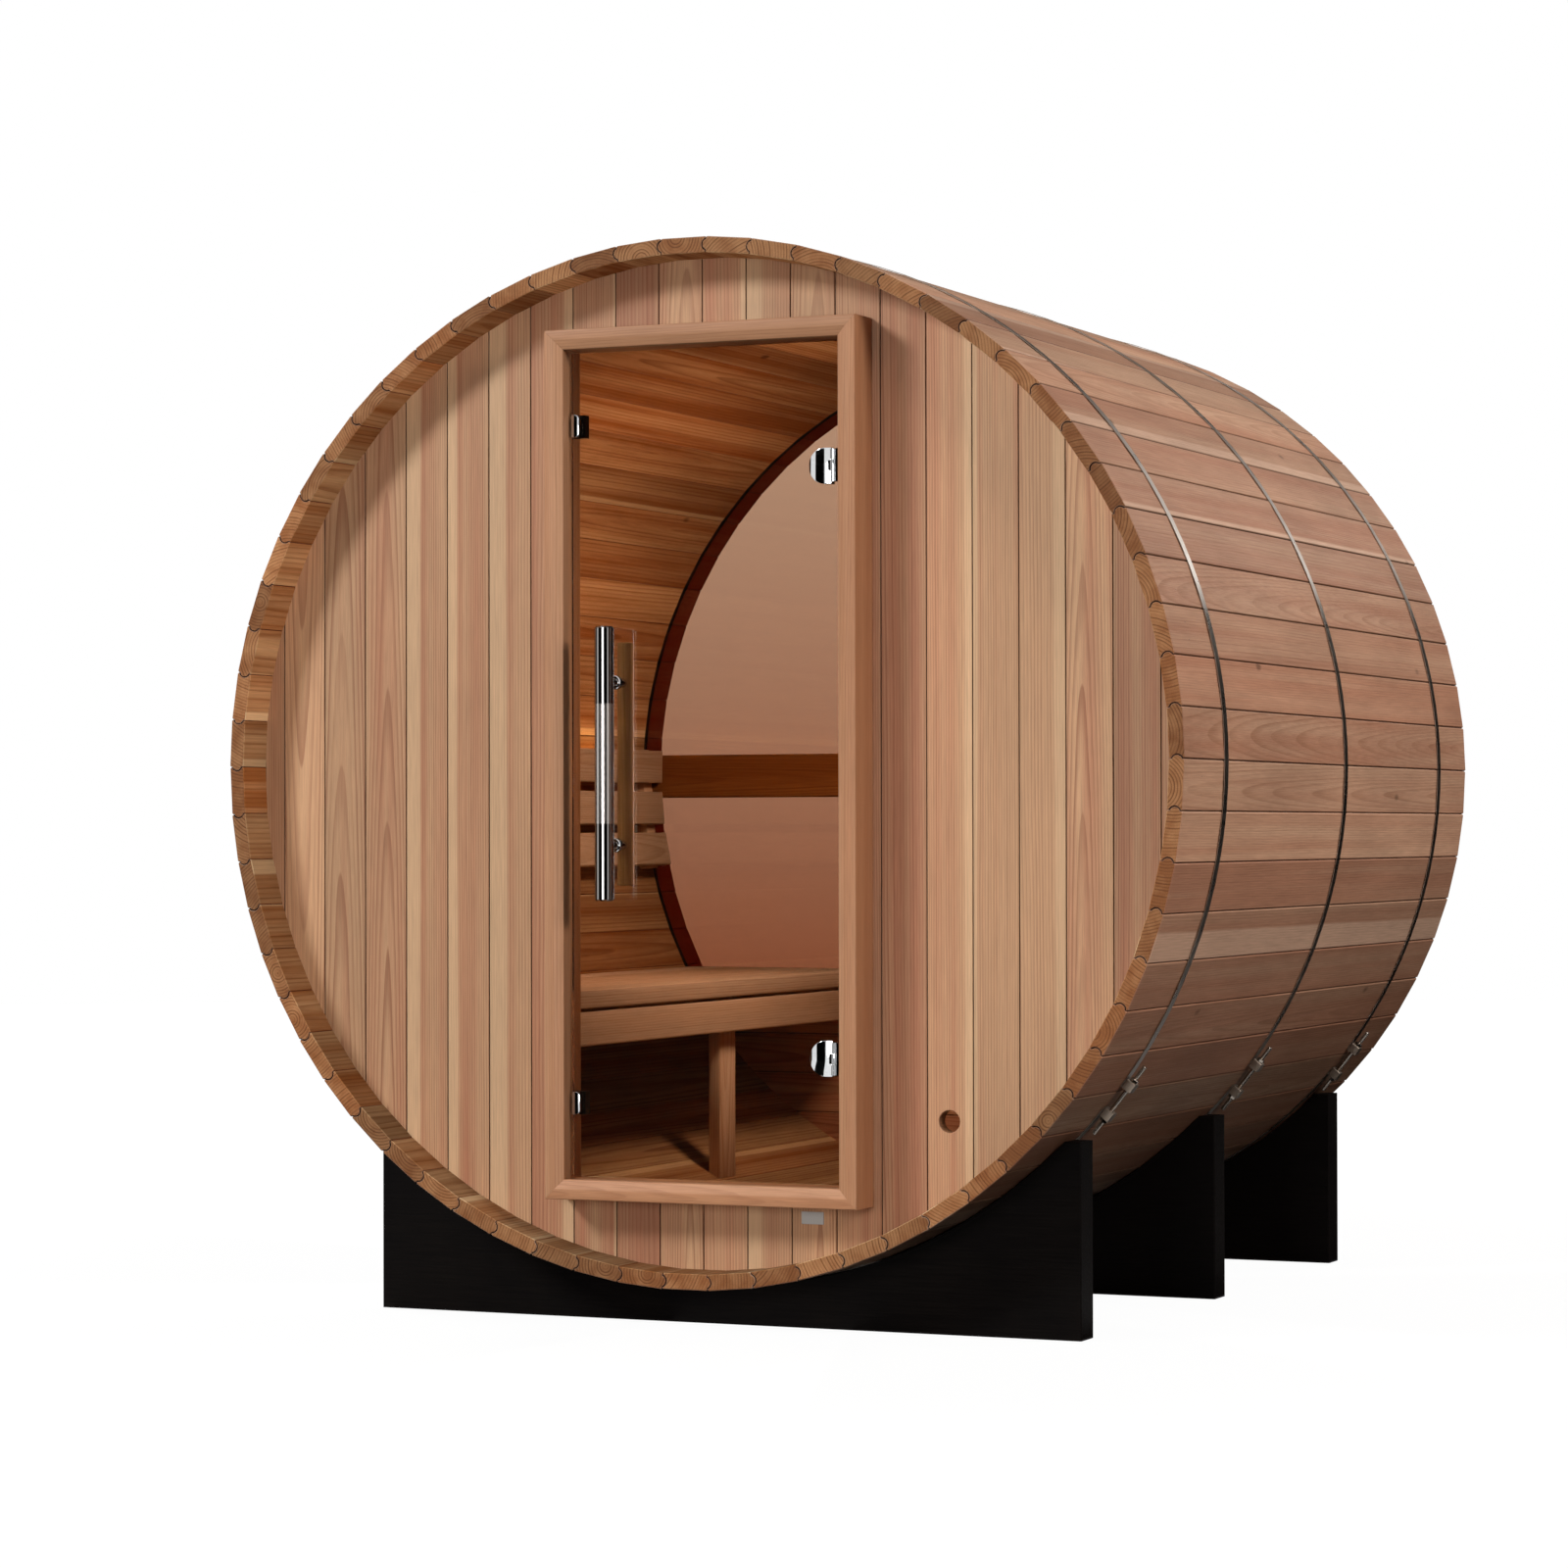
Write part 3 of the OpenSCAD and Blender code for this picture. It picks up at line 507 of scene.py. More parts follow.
def board_loop(x0, x1, steps=7):
    """Section of an upright board, anticlockwise in x and y, with a V along each edge, and the depth of
    its points in the joint."""
    face = np.linspace(x0 + GAP + V_WIDE, x1 - GAP - V_WIDE, steps)
    front = np.stack([face, np.full(steps, WALL_FRONT)], -1)
    back = np.stack([face[::-1], np.full(steps, WALL_BACK)], -1)
    right_side = [[x1 - GAP, WALL_FRONT + V_DEEP], [x1 - GAP, WALL_BACK - V_DEEP]]
    left_side = [[x0 + GAP, WALL_BACK - V_DEEP], [x0 + GAP, WALL_FRONT + V_DEEP]]
    depth = np.repeat([0, JOINT_SHADE, 0, JOINT_SHADE], [steps, 2, steps, 2])
    return np.concatenate([front, right_side, back, left_side]), depth


def board_marks(rings, depth, k):
    """Grain and tone of the wall board in bay k: one seed for every part that is sawn from that board."""
    own = np.random.default_rng(wall_seed[k])
    centre = np.array([(k + 0.5) * JOINT, WALL_FRONT, AXIS])
    grain = from_log(rings, centre, Z, X, -Y, flat=float(k in ARCHED), rng=own)
    board = tones(rings, depth, spread=0.09, red=0.33, rng=own)
    board[..., 1] *= ARCHED_RED if k in ARCHED else 1.0
    return grain, board


def upright(x0, x1, k, low, high):
    """Board between x0 and x1 in bay k whose ends follow low(x) and high(x), counted from the barrel axis."""
    loop, depth = board_loop(x0, x1)
    ends = np.stack([low(loop[:, 0]), high(loop[:, 0])])
    rings = np.stack([*(np.broadcast_to(loop[:, i], ends.shape) for i in (0, 1)), AXIS + ends], -1)[None]
    return skin(rings, *board_marks(rings, depth, k))


print("wall boards", round(JOINT / MM, 1), "mm wide in", len(BAYS), "bays")

# %% Boards left of the door, over it and under it
DOOR_LEFT, DOOR_RIGHT = -3 * JOINT, 4 * JOINT
head_z = boxes["front_wall_head"][0, 2] - AXIS


def chord(x):
    """Half height of the round wall at x: sqrt(radius^2 - x^2)."""
    return np.sqrt(np.maximum(WALL_R ** 2 - x ** 2, 1e-9))


def low_chord(x):
    """The lower end of a full board at x."""
    return -chord(x)


def level_at(z):
    """A level end at height z from the axis."""
    return lambda x: np.full_like(x, z)


def bays(x0, x1):
    """Bays whose boards lie between x0 and x1: number, left and right edge, clipped to the round."""
    found = []
    for k in BAYS:
        inner_edge = abs(k * JOINT + (JOINT if k < 0 else 0))
        if x0 < (k + 0.5) * JOINT < x1 and inner_edge < WALL_R - 4 * MM:
            found.append((k, max(k * JOINT, -WALL_R + MM), min((k + 1) * JOINT, WALL_R - MM)))
    return found


def boarded(node_name, skins):
    """The boards that stand for one node of a wall, as one piece."""
    piece(node_name + "_boards", skins, [board_wood], nodes=[node_name])
    print(node_name, "of", len(skins), "skins")


for part, x0, x1, low, high in (("left", -1, DOOR_LEFT, low_chord, chord),
                                ("head", DOOR_LEFT, DOOR_RIGHT, level_at(head_z), chord),
                                ("foot", DOOR_LEFT, DOOR_RIGHT, low_chord, level_at(-head_z))):
    boarded("front_wall_" + part, [upright(e0, e1, k, low, high) for k, e0, e1 in bays(x0, x1)])

# %% [markdown]
# ## The vent hole
# One board low on the right has a round hole bored through it. A Boolean could cut it, but it
# leaves ragged faces. Instead the flat of that board is one surface between two outlines: a
# circle inside and the board's own edge outside, joined by straight lines, front and back.

# %% Right wall with its vent
REACH, RIM = 70 * MM, 1.2 * MM
vent = next(m for m in frame["record"]["mounts"] if m["name"] == "vent_hole")
vent_x, vent_z = vent["pos_m"][0], vent["pos_m"][2] - AXIS
vent_r = vent["dims"]["r_mm"] * MM
vent_bay = int(np.floor(vent_x / JOINT))
x0, x1 = vent_bay * JOINT, (vent_bay + 1) * JOINT
right_boards = [upright(e0, e1, k, low_chord, chord) for k, e0, e1 in bays(DOOR_RIGHT, 1) if k != vent_bay]
right_boards += [upright(boxes["front_wall_right"][0, 0], DOOR_RIGHT, 3, level_at(-head_z), level_at(head_z)),
                 upright(x0, x1, vent_bay, low_chord, level_at(vent_z - REACH)),
                 upright(x0, x1, vent_bay, level_at(vent_z + REACH), chord)]
flat_l, flat_r = x0 + GAP + V_WIDE, x1 - GAP - V_WIDE
to_corners = [np.arctan2(side * REACH, e - vent_x) for side in (-1, 1) for e in (flat_l, flat_r)]
turns = np.sort([*np.linspace(-np.pi, np.pi, 64, endpoint=False), *to_corners])
cx, cz = np.cos(turns), np.sin(turns)
to_edge = np.minimum(np.where(cx > 0, flat_r - vent_x, vent_x - flat_l) / np.maximum(abs(cx), 1e-9),
                     REACH / np.maximum(abs(cz), 1e-9))
outlines = [(to_edge, WALL_FRONT), (vent_r + RIM, WALL_FRONT), (vent_r, WALL_FRONT + RIM),
            (vent_r, WALL_BACK - RIM), (vent_r + RIM, WALL_BACK), (to_edge, WALL_BACK)]
rings = np.stack([np.stack([vent_x + r * cx, np.full_like(cx, y), AXIS + vent_z + r * cz], -1)
                  for r, y in outlines])[None]
bore_shade = np.array([0, 0, 0.45, 0.6, 0, 0])[None, :, None]
right_boards.append(skin(rings, *board_marks(rings, bore_shade, vent_bay), closed=True))
# the two strips beside the bored flat carry the V of the joint
for e0, e1, in_joint in ((x0 + GAP, flat_l, [1, 0, 0, 1]), (flat_r, x1 - GAP, [0, 1, 1, 0])):
    in_joint = np.array(in_joint)
    faces = np.array([WALL_FRONT, WALL_FRONT, WALL_BACK, WALL_BACK]) + V_DEEP * in_joint * [1, 1, -1, -1]
    ends = [np.column_stack([[e0, e1, e1, e0], faces, np.full(4, AXIS + vent_z + side * REACH)])
            for side in (-1, 1)]
    rings = np.stack(ends)[None]
    right_boards.append(skin(rings, *board_marks(rings, JOINT_SHADE * in_joint, vent_bay)))
boarded("front_wall_right", right_boards)
print("vent at", round(vent_x, 3), round(vent_z + AXIS, 3))

# %% [markdown]
# ## Door frame
# Four mitred members stand proud of the wall, bevelled towards the glass. They could be boxes with
# a bevel, but a mitre is seen at each corner. The section is a loop with softened corners, and each
# of its points ends on the mitre: the nearer to the door, the shorter. The same loop makes all four.

# %% Frame members
FACE, BEVEL_W, BEVEL_D, SOFT = 35 * MM, 17 * MM, 6 * MM, 2.0 * MM
# the head member's tone is lowered to 0.81 as painted shade from the rim over it
MITRE_GAP, HEAD_SHADE = 0.15 * MM, 0.81
frame_box = np.array([boxes[n] for n in ("frame_left", "frame_head", "frame_right", "frame_sill")])
frame_lo, frame_hi = frame_box[:, 0].min(0), frame_box[:, 1].max(0)
wide, DEPTH, high = frame_hi - frame_lo
door_mid = np.array([(frame_lo[0] + frame_hi[0]) / 2, frame_lo[1], (frame_lo[2] + frame_hi[2]) / 2])


def softened(corners, radius, count=4):
    """Rounds each corner of a loop: a curve from A, `radius` before it, to B, `radius` after it, by
    (1-s)^2 A + 2s(1-s) corner + s^2 B."""
    before = np.roll(corners, 1, 0) - corners
    after = np.roll(corners, -1, 0) - corners
    start = corners + radius * before / np.linalg.norm(before, axis=1, keepdims=True)
    end = corners + radius * after / np.linalg.norm(after, axis=1, keepdims=True)
    s = np.linspace(0, 1, count)[None, :, None]
    curve = (1 - s) ** 2 * start[:, None] + 2 * s * (1 - s) * corners[:, None] + s ** 2 * end[:, None]
    return curve.reshape(-1, 2)


member = softened(np.array([[0, 0], [FACE - BEVEL_W, 0], [FACE, BEVEL_D], [FACE, DEPTH], [0, DEPTH]]), SOFT)
for node_name, inward, along, edge, length in (("frame_left", X, Z, -wide / 2, high),
                                               ("frame_right", -X, Z, -wide / 2, high),
                                               ("frame_head", -Z, X, -high / 2, wide),
                                               ("frame_sill", Z, X, -high / 2, wide)):
    run = length / 2 - MITRE_GAP - member[:, 0]
    base = door_mid + (edge + member[:, :1]) * inward + member[:, 1:] * Y
    rings = (base + np.stack([-run, run])[..., None] * along)[None]
    grain = from_log(rings, door_mid + (edge + FACE / 2) * inward, along, inward, -Y, flat=0.2)
    board = tones(rings, 0.0, spread=0.05, red=0.15)
    # painted shade: the head member is darker than the others
    board[..., 0] *= HEAD_SHADE if node_name == "frame_head" else 1.0
    piece(node_name + "_member", [skin(rings, grain, board)], [frame_wood],
          nodes=[node_name], angle=50)
print("door frame:", round(wide, 3), "by", round(high, 3), "deep", round(DEPTH, 3))

# %% [markdown]
# ## Planks of the bench
# Seat, apron, bearers, post and backrest are plain planks with eased edges, as a joiner would
# leave them. A cube with a Bevel modifier would do for one; here one function makes any number of
# them: a rounded rectangle carried along the plank, drawn in a little at both ends.

# %% Planks
PLANK_EASE, WIDE_EASE, DRAWN_IN = 3 * MM, 4 * MM, 0.6


def planks(centres, along, across, out, length, width, thick, ease=PLANK_EASE):
    """Rings of eased planks: a softened rectangle in (across, out), at four stops along each plank, the end
    ones drawn in."""
    rect = np.array([[-0.5, -0.5], [0.5, -0.5], [0.5, 0.5], [-0.5, 0.5]])
    loop = softened(rect * [width, thick], ease)
    small = inset(loop, ease * DRAWN_IN)
    stack = np.stack([small, loop, loop, small])
    tuck = ease * DRAWN_IN
    run = np.array([-length / 2, -length / 2 + tuck, length / 2 - tuck, length / 2])[:, None, None]
    rows = (np.broadcast_to(v, np.shape(centres))[:, None, None] for v in (centres, along, across, out))
    middle, along, across, out = rows
    return middle + stack[..., :1] * across + stack[..., 1:] * out + run * along


def bench_planks(name, node_name, centres, along, across, out, *sizes):
    """Planks of the bench as one piece, with a grain and a tone for each plank."""
    rings = planks(centres, along, across, out, *sizes)
    grain = from_log(rings, centres, along, across, out)
    skins = [skin(rings, grain, tones(rings, 0.0, spread=0.08, red=0.25))]
    piece(name, skins, [bench_wood], nodes=[node_name], angle=50)
    print(name, len(rings), "planks")


def boxed(name, node_name, long_axis, count=1, gap=0.0, ease=PLANK_EASE):
    """Planks that fill a CAD node's box, side by side along x."""
    lo, hi = boxes[node_name]
    size = hi - lo
    share = (size[0] - (count - 1) * gap) / count
    centres = np.tile((lo + hi) / 2, (count, 1))
    centres[:, 0] = lo[0] + share / 2 + np.arange(count) * (share + gap)
    size[0] = share
    others = [i for i in range(3) if i != long_axis]
    order = [long_axis, *sorted(others, key=lambda i: -size[i])]
    bench_planks(name, node_name, centres, *np.eye(3)[order], *size[order], ease)


boxed("bench_seat_slats", "bench_seat", 1, count=5, gap=8 * MM, ease=WIDE_EASE)
boxed("bench_apron_board", "bench_apron", 1, ease=WIDE_EASE)
boxed("bench_post_board", "bench_post", 2)

# %% Bearers, backrest and cleats
BEARER_W, BEARER_CUT = 40 * MM, 12 * MM
REST_R, REST_W, REST_T = INNER - 58 * MM, 70 * MM, 22 * MM
REST_RISE, REST_PITCH = 20 * MM, 88 * MM
CLEAT_W, CLEAT_IN, CLEAT_SHARE = 40 * MM, 2 * MM, 0.97
lo, hi = boxes["bench_bearers"]
centres = np.tile((lo + hi) / 2 + [BEARER_CUT / 2, 0, 0], (3, 1))
centres[:, 1] = lo[1] + BEARER_W / 2, boxes["bench_post"][:, 1].mean(), hi[1] - BEARER_W / 2
bench_planks("bench_bearer_bars", "bench_bearers", centres, X, Z, Y,
             hi[0] - lo[0] - BEARER_CUT, hi[2] - lo[2], BEARER_W)
rest_angle = np.pi - np.arcsin(REST_RISE / REST_R) + np.arange(3) * REST_PITCH / REST_R
rest_y = boxes["backrest_slats"][:, 1]
centres, out, turning = around_axis(rest_angle, REST_R + REST_T / 2, rest_y.mean())
bench_planks("backrest_slat_boards", "backrest_slats", centres, Y, turning, out,
             rest_y[1] - rest_y[0], REST_W, REST_T, WIDE_EASE)
cleat_y = boxes["backrest_cleats"][:, 1] + [CLEAT_W / 2, -CLEAT_W / 2]
cleat_t = INNER - REST_R - REST_T + MM
cleat_r = REST_R + REST_T + cleat_t / 2 + CLEAT_IN
cleats = [around_axis(rest_angle[1:2], cleat_r, y) for y in np.linspace(*cleat_y, 3)]
centres, out, turning = (np.concatenate(rows) for rows in zip(*cleats))
bench_planks("backrest_cleat_blocks", "backrest_cleats", centres, turning, Y, out,
             3 * REST_PITCH * CLEAT_SHARE, CLEAT_W, cleat_t)

# %% [markdown]
# ## Rear rail and boarded foot
# Behind the glass a rail crosses the barrel, and below it horizontal boards close the foot. A flat
# panel would do from far off, but its joints show. The ends of these boards follow the round, as the
# front boards do, only lying down.

# %% Rear boards
FOOT_ROWS, FOOT_GAP, FOOT_EASE, RAIL_EASE = 5, 6 * MM, 2.0 * MM, 3 * MM
foot_lo, foot_hi = boxes["rear_foot"]
rail_lo, rail_hi = boxes["rear_rail"]


def lying(z0, z1, y0, y1, radius, ease, joint_shade, steps=6):
    """Horizontal board between heights z0 and z1 from the axis, its ends on the round:
    x = sqrt(radius^2 - z^2)."""
    up = np.linspace(z0 + ease, z1 - ease, steps)
    loop = np.concatenate([np.stack([np.full(steps, y0), up[::-1]], -1), [[y0 + ease, z0], [y1 - ease, z0]],
                           np.stack([np.full(steps, y1), up], -1), [[y1 - ease, z1], [y0 + ease, z1]]])
    depth = np.repeat([0, joint_shade, 0, joint_shade], [steps, 2, steps, 2])
    end = np.sqrt(np.maximum(radius ** 2 - loop[:, 1] ** 2, 1e-6))
    rings = np.stack([np.stack([s * end, loop[:, 0], AXIS + loop[:, 1]], -1) for s in (-1, 1)])[None]
    grain = from_log(rings, np.array([0, y0, AXIS + (z0 + z1) / 2]), X, Z, -Y, flat=0.5)
    return skin(rings, grain, tones(rings, depth, spread=0.1, red=0.3))


rows = np.linspace(foot_hi[2] - AXIS, -WALL_R + FOOT_GAP, FOOT_ROWS + 1)
boarded("rear_foot", [lying(z1, z0, foot_lo[1], foot_hi[1], WALL_R, FOOT_EASE, 0.9)
                      for z0, z1 in zip(rows[:-1], rows[1:])])
rail = lying(rail_lo[2] - AXIS, rail_hi[2] - AXIS, rail_lo[1], rail_hi[1], INNER + 0.5 * MM, RAIL_EASE, 0.0)
piece("rear_rail_bar", [rail], [rail_wood], nodes=["rear_rail"])
print("rear rail", round(rail_hi[2] - rail_lo[2], 3), "high")

# %% [markdown]
# ## Bronze glass
# The door and the rear panes are 8 mm bronze float glass. A flat brown film would hide the
# depth; real glass refracts, reflects more at a slant and tints what lies behind it once for
# each pane, so two panes look darker than one. Faint smears break the gloss.

# %% Glass
# heights between which the tint darkens as painted shade, in metres, and the smears' waves to the metre and
# roughness
GLASS_SHADE_TOP, GLASS_SHADE_FOOT = 1.7, 0.55
SMEAR_WAVES, SMEAR_ROUGH = 6.0, 0.008


def dress(look, *node_names):
    """Gives CAD nodes a finish in place of their plain one."""
    for node_name in node_names:
        slots = frame["nodes"][node_name].data.materials
        slots.clear()
        slots.append(look)
    print(look.name, "on", *node_names)


def bronze(name, high, low):
    """Bronze float glass: the tint runs from `high` near the top of a pane to `low` near its foot, painted
    shade for the darker ground seen through the lower glass, and smears about 0.17 m across raise the
    roughness a little."""
    made, t, shader = finish_of(name)
    here = add(t, "TexCoord", {}, "Object")
    noise = {"Vector": here, "Scale": SMEAR_WAVES, "Detail": 3.0, "Roughness": 0.6}
    grease = add(t, "TexNoise", noise, "Fac")
    smear = {"Value": grease, "From Min": 0.45, "From Max": 0.75, "To Max": SMEAR_ROUGH}
    height = add(t, "SeparateXYZ", {0: here}, "Z")
    fall = add(t, "MapRange", {"Value": height, "From Min": GLASS_SHADE_TOP, "From Max": GLASS_SHADE_FOOT})
    join(shader, {"Base Color": add(t, "Mix", {0: fall, 6: linear(high), 7: linear(low)}, 2, **COLOUR),
                  "Roughness": add(t, "MapRange", smear), "Transmission Weight": 1.0, "IOR": 1.5})
    return made


# light bronze: clear enough to show the cabin, and warms it a little
dress(bronze("bronze_float_glass_light", "#e4d0bf", "#e0cab7"), "door_glass")
# deep bronze: the daylight behind the cabin turns copper, and the tint is darker and redder towards the foot
# as painted shade
dress(bronze("bronze_float_glass_deep", "#d2b6a2", "#9e664c"), "rear_glass_upper", "rear_glass_lower")

# %% [markdown]
# ## Metals
# The hoops are stainless strip as it leaves the rolls; tensioners are dulled steel; handle,
# hinges and clips are chrome. A grey paint would not do, because metal shows its surroundings, so
# each finish is mostly roughness: broad noise for rolled strip, fine for grinding and dull steel.

# %% Metal finishes
def metal(name, colour, rough, spread, mm, stretch=(1, 1, 1), bump=0.1):
    """Bare metal: roughness = rough +- spread from noise with grains of `mm`, stretched along an axis where
    it was brushed."""
    made, t, shader = finish_of(name)
    spot = add(t, "VectorMath", {0: add(t, "TexCoord", {}, "Object"), 1: stretch}, **TIMES)
    noise = {"Vector": spot, "Scale": 1 / (mm * MM), "Detail": 3.0, "Roughness": 0.65}
    grit = add(t, "TexNoise", noise, "Fac")
    level = add(t, "MapRange", {"Value": grit, "To Min": 0.85, "To Max": 1.1})
    matt = {"Value": grit, **MOST, "To Min": rough - spread, "To Max": rough + spread}
    join(shader, {"Base Color": add(t, "HueSaturation", {"Value": level, "Color": linear(colour)}),
                  "Roughness": add(t, "MapRange", matt),
                  "Normal": add(t, "Bump", {"Strength": bump, "Distance": 0.1 * MM, "Height": grit}),
                  "Metallic": 1.0})
    return made


# rolled stainless: a dark line with one long soft glint where the hoop turns to the light
hoop_steel = metal("stainless_strip_rolled", "#a89b8f", 0.29, 0.03, 60.0, bump=0.02)
# browned steel: dull, with a grain of its own
block_steel = metal("steel_blocks_browned", "#8a7d70", 0.4, 0.1, 1.0)
# bright rod: the crests of the thread catch the light
rod_steel = metal("steel_rod_bright", "#a39a90", 0.2, 0.05, 1.0)
# polished chrome: black and white bands, a near mirror with faint marks
chrome = metal("chrome_polished", "#d9dadb", 0.06, 0.03, 4.0, bump=0.02)
dress(hoop_steel, "band_front", "band_middle", "band_rear")
dress(chrome, "hinge_leaf_upper", "hinge_leaf_lower")

# %% Pull handle
# one tube, ground satin over its middle 210 mm and polished at both ends: soft grey between two mirrors; the
# middle's paler grey is partly a painted reflection
SATIN_HALF_MM, SATIN_EDGE_MM = 105, 0.6
handle_chrome, t, shader = finish_of("chrome_handle_two_finishes")
spot = add(t, "TexCoord", {}, "Object")
handle_mid = boxes["door_handle"][:, 2].mean()
from_mid = add(t, "Math", {0: add(t, "SeparateXYZ", {0: spot}, "Z"), 1: handle_mid}, operation="SUBTRACT")
satin = add(t, "MapRange", {"Value": add(t, "Math", {0: from_mid}, operation="ABSOLUTE"),
                            "From Min": (SATIN_HALF_MM + SATIN_EDGE_MM) * MM,
                            "From Max": (SATIN_HALF_MM - SATIN_EDGE_MM) * MM})
ground = add(t, "VectorMath", {0: spot, 1: (1, 1, 0.1)}, **TIMES)
grit = add(t, "TexNoise", {"Vector": ground, "Scale": 1 / (1.5 * MM), "Detail": 3.0}, "Fac")
worn = add(t, "MapRange", {"Value": grit, "To Min": -0.01, "To Max": 0.01})
two_parts = add(t, "MapRange", {"Value": satin, "To Min": 0.06, "To Max": 0.24})
# the paler grey of the middle is partly real satin and partly a painted reflection of bright surroundings
greys = {0: satin, 6: linear("#8f8b88"), 7: linear("#b9b2ad")}
join(shader, {"Base Color": add(t, "Mix", greys, 2, **COLOUR),
              "Roughness": add(t, "Math", {0: two_parts, 1: worn}, operation="ADD"), "Metallic": 1.0})
dress(handle_chrome, "door_handle")

# %% [markdown]
# ## Black stain and black plastic
# The cradles are softwood under a black stain that soaks in, so the fibres still show; the magnets
# are cased in moulded plastic, and the sealant takes the same finish. Plain black would look like a
# hole in the picture: a little grain in the colour and the gloss is what makes it a surface.

# %% Black finishes
# stained softwood: nearly black and matt, with a faint brown fibre
stain, t, shader = finish_of("softwood_black_stain")
log = add(t, "Attribute", {}, "Vector", attribute_name="grain")
# fibres 3 mm wide and 110 mm long, coarser than real ones so that they show, in patches of 110 mm
fibre_place = add(t, "VectorMath", {0: log, 1: (9, 320, 320)}, **TIMES)
fibre = add(t, "TexNoise", {"Vector": fibre_place, "Scale": 1.0, "Detail": 4.0, "Roughness": 0.6}, "Fac")
patch = add(t, "TexNoise", {"Vector": log, "Scale": 9.0, "Detail": 2.0}, "Fac")
both = add(t, "Math", {0: fibre, 1: patch}, **TIMES)
thin = add(t, "MapRange", {"Value": both, "From Min": 0.12, "From Max": 0.42})
join(shader, {"Base Color": add(t, "Mix", {0: thin, 6: linear("#050303"), 7: linear("#0e0a08")}, 2, **COLOUR),
              "Roughness": add(t, "MapRange", {"Value": fibre, "To Min": 0.75, "To Max": 0.5}),
              "Normal": add(t, "Bump", {"Strength": 0.5, "Distance": 0.6 * MM, "Height": fibre}),
              "Specular IOR Level": 0.06})
# moulded plastic: charcoal with a fine even grit of about 1 mm, half matt
plastic, t, shader = finish_of("black_moulded_plastic")
grit_look = {"Vector": add(t, "TexCoord", {}, "Object"), "Scale": 900.0, "Detail": 2.0}
grit = add(t, "TexNoise", grit_look, "Fac")
join(shader, {"Base Color": add(t, "Mix", {0: grit, 6: linear("#0b0b0b"), 7: linear("#1c1b1a")}, 2, **COLOUR),
              "Roughness": add(t, "MapRange", {"Value": grit, "To Min": 0.4, "To Max": 0.6})})
dress(plastic, "catch_magnets")

# %% [markdown]
# ## Cradles
# Three planks stand on edge, with the round of the barrel sawn out of their tops and stained
# black. A Boolean could saw them, but it leaves no eased rim. The outline is a loop in x and z,
# carried through the plank's thickness, and drawn in at both faces.

# %% Cradles
SADDLE_R, SADDLE_EASE = OUTER / np.cos(half) + 1.6 * MM, 1.5 * MM
for node_name in ("saddle_front", "saddle_middle", "saddle_rear"):
    lo, hi = boxes[node_name]
    tip = np.arcsin((AXIS - hi[2]) / SADDLE_R)
    sweep = np.linspace(-np.pi + tip, -tip, 61)
    arc = np.stack([SADDLE_R * np.cos(sweep), AXIS + SADDLE_R * np.sin(sweep)], -1)[::-1]
    outline = np.concatenate([[[lo[0], lo[2]], [hi[0], lo[2]], [hi[0], hi[2]]], arc, [[lo[0], hi[2]]]])
    small = inset(outline, SADDLE_EASE)
    # the rim that stands on the floor stays flat
    small[:2, 1] = lo[2]
    through = ((small, lo[1]), (outline, lo[1] + SADDLE_EASE), (outline, hi[1] - SADDLE_EASE), (small, hi[1]))
    rings = np.stack([np.insert(loop, 1, y, axis=1) for loop, y in through])[None]
    grain = from_log(rings, np.array([0, lo[1], 0.1]), X, Z, -Y)
    piece(node_name + "_plank", [skin(rings, grain)], [stain],
          nodes=[node_name], angle=40)
print("cradles on arcs of radius", round(SADDLE_R, 4))

# %% [markdown]
# ## Grips
# The handle on the inside is a plain turned wooden bar on two short pillars, so that nobody
# touches hot metal. A cylinder would have sharp rims; a turned bar is a radius that changes along
# its axis, carried round it, so its ends are rounded over as on a lathe.

# %% Turned bars
GRIP_EASE = 4 * MM


def turned(profile, x, y, z, axis=2, count=40):
    """Rings of a turned bar: profile rows are (place along the axis, radius)."""
    s = np.linspace(0, 2 * np.pi, count, endpoint=False)
    side = [i for i in range(3) if i != axis]
    rings = np.zeros((len(profile), count, 3))
    rings[..., axis] = profile[:, :1]
    rings[..., side[0]] = profile[:, 1:] * np.cos(s)
    rings[..., side[1]] = profile[:, 1:] * np.sin(s)
    return (rings + [x, y, z])[None]


def rounded_bar(length, radius, ease):
    """Profile of a bar with round-over ends: the radius falls by ease (1 - sqrt(1 - 0.98 q^2)) as q runs
    to 1 at each end."""
    q = np.linspace(0, 1, 6)
    fall = ease * (1 - np.sqrt(1 - q ** 2 * 0.98))
    end = np.stack([length / 2 - ease + ease * q, radius - fall], -1)
    return np.concatenate([end[::-1] * [-1, 1], end])


grip_lo, grip_hi = boxes["door_handle_inner"]
grip_long = grip_hi[2] - grip_lo[2]
grip_r = (grip_hi[0] - grip_lo[0]) / 2
grip_x, grip_z = (grip_lo[0] + grip_hi[0]) / 2, (grip_lo[2] + grip_hi[2]) / 2
grip_y = grip_hi[1] - grip_r
bar = turned(rounded_bar(grip_long, grip_r, GRIP_EASE), grip_x, grip_y, grip_z)
bar_grain = from_log(bar, np.array([grip_x, grip_y, grip_z]), Z, X, -Y, flat=0.0)
piece("inner_grip_bar", [skin(bar, bar_grain)], [grip_wood], body="door",
      nodes=["door_handle_inner"])
print("inner grip", round(grip_long, 3), "long")

# %% Pillars and roses
STANDOFF, PILLAR_R = 143 * MM, 8.5 * MM
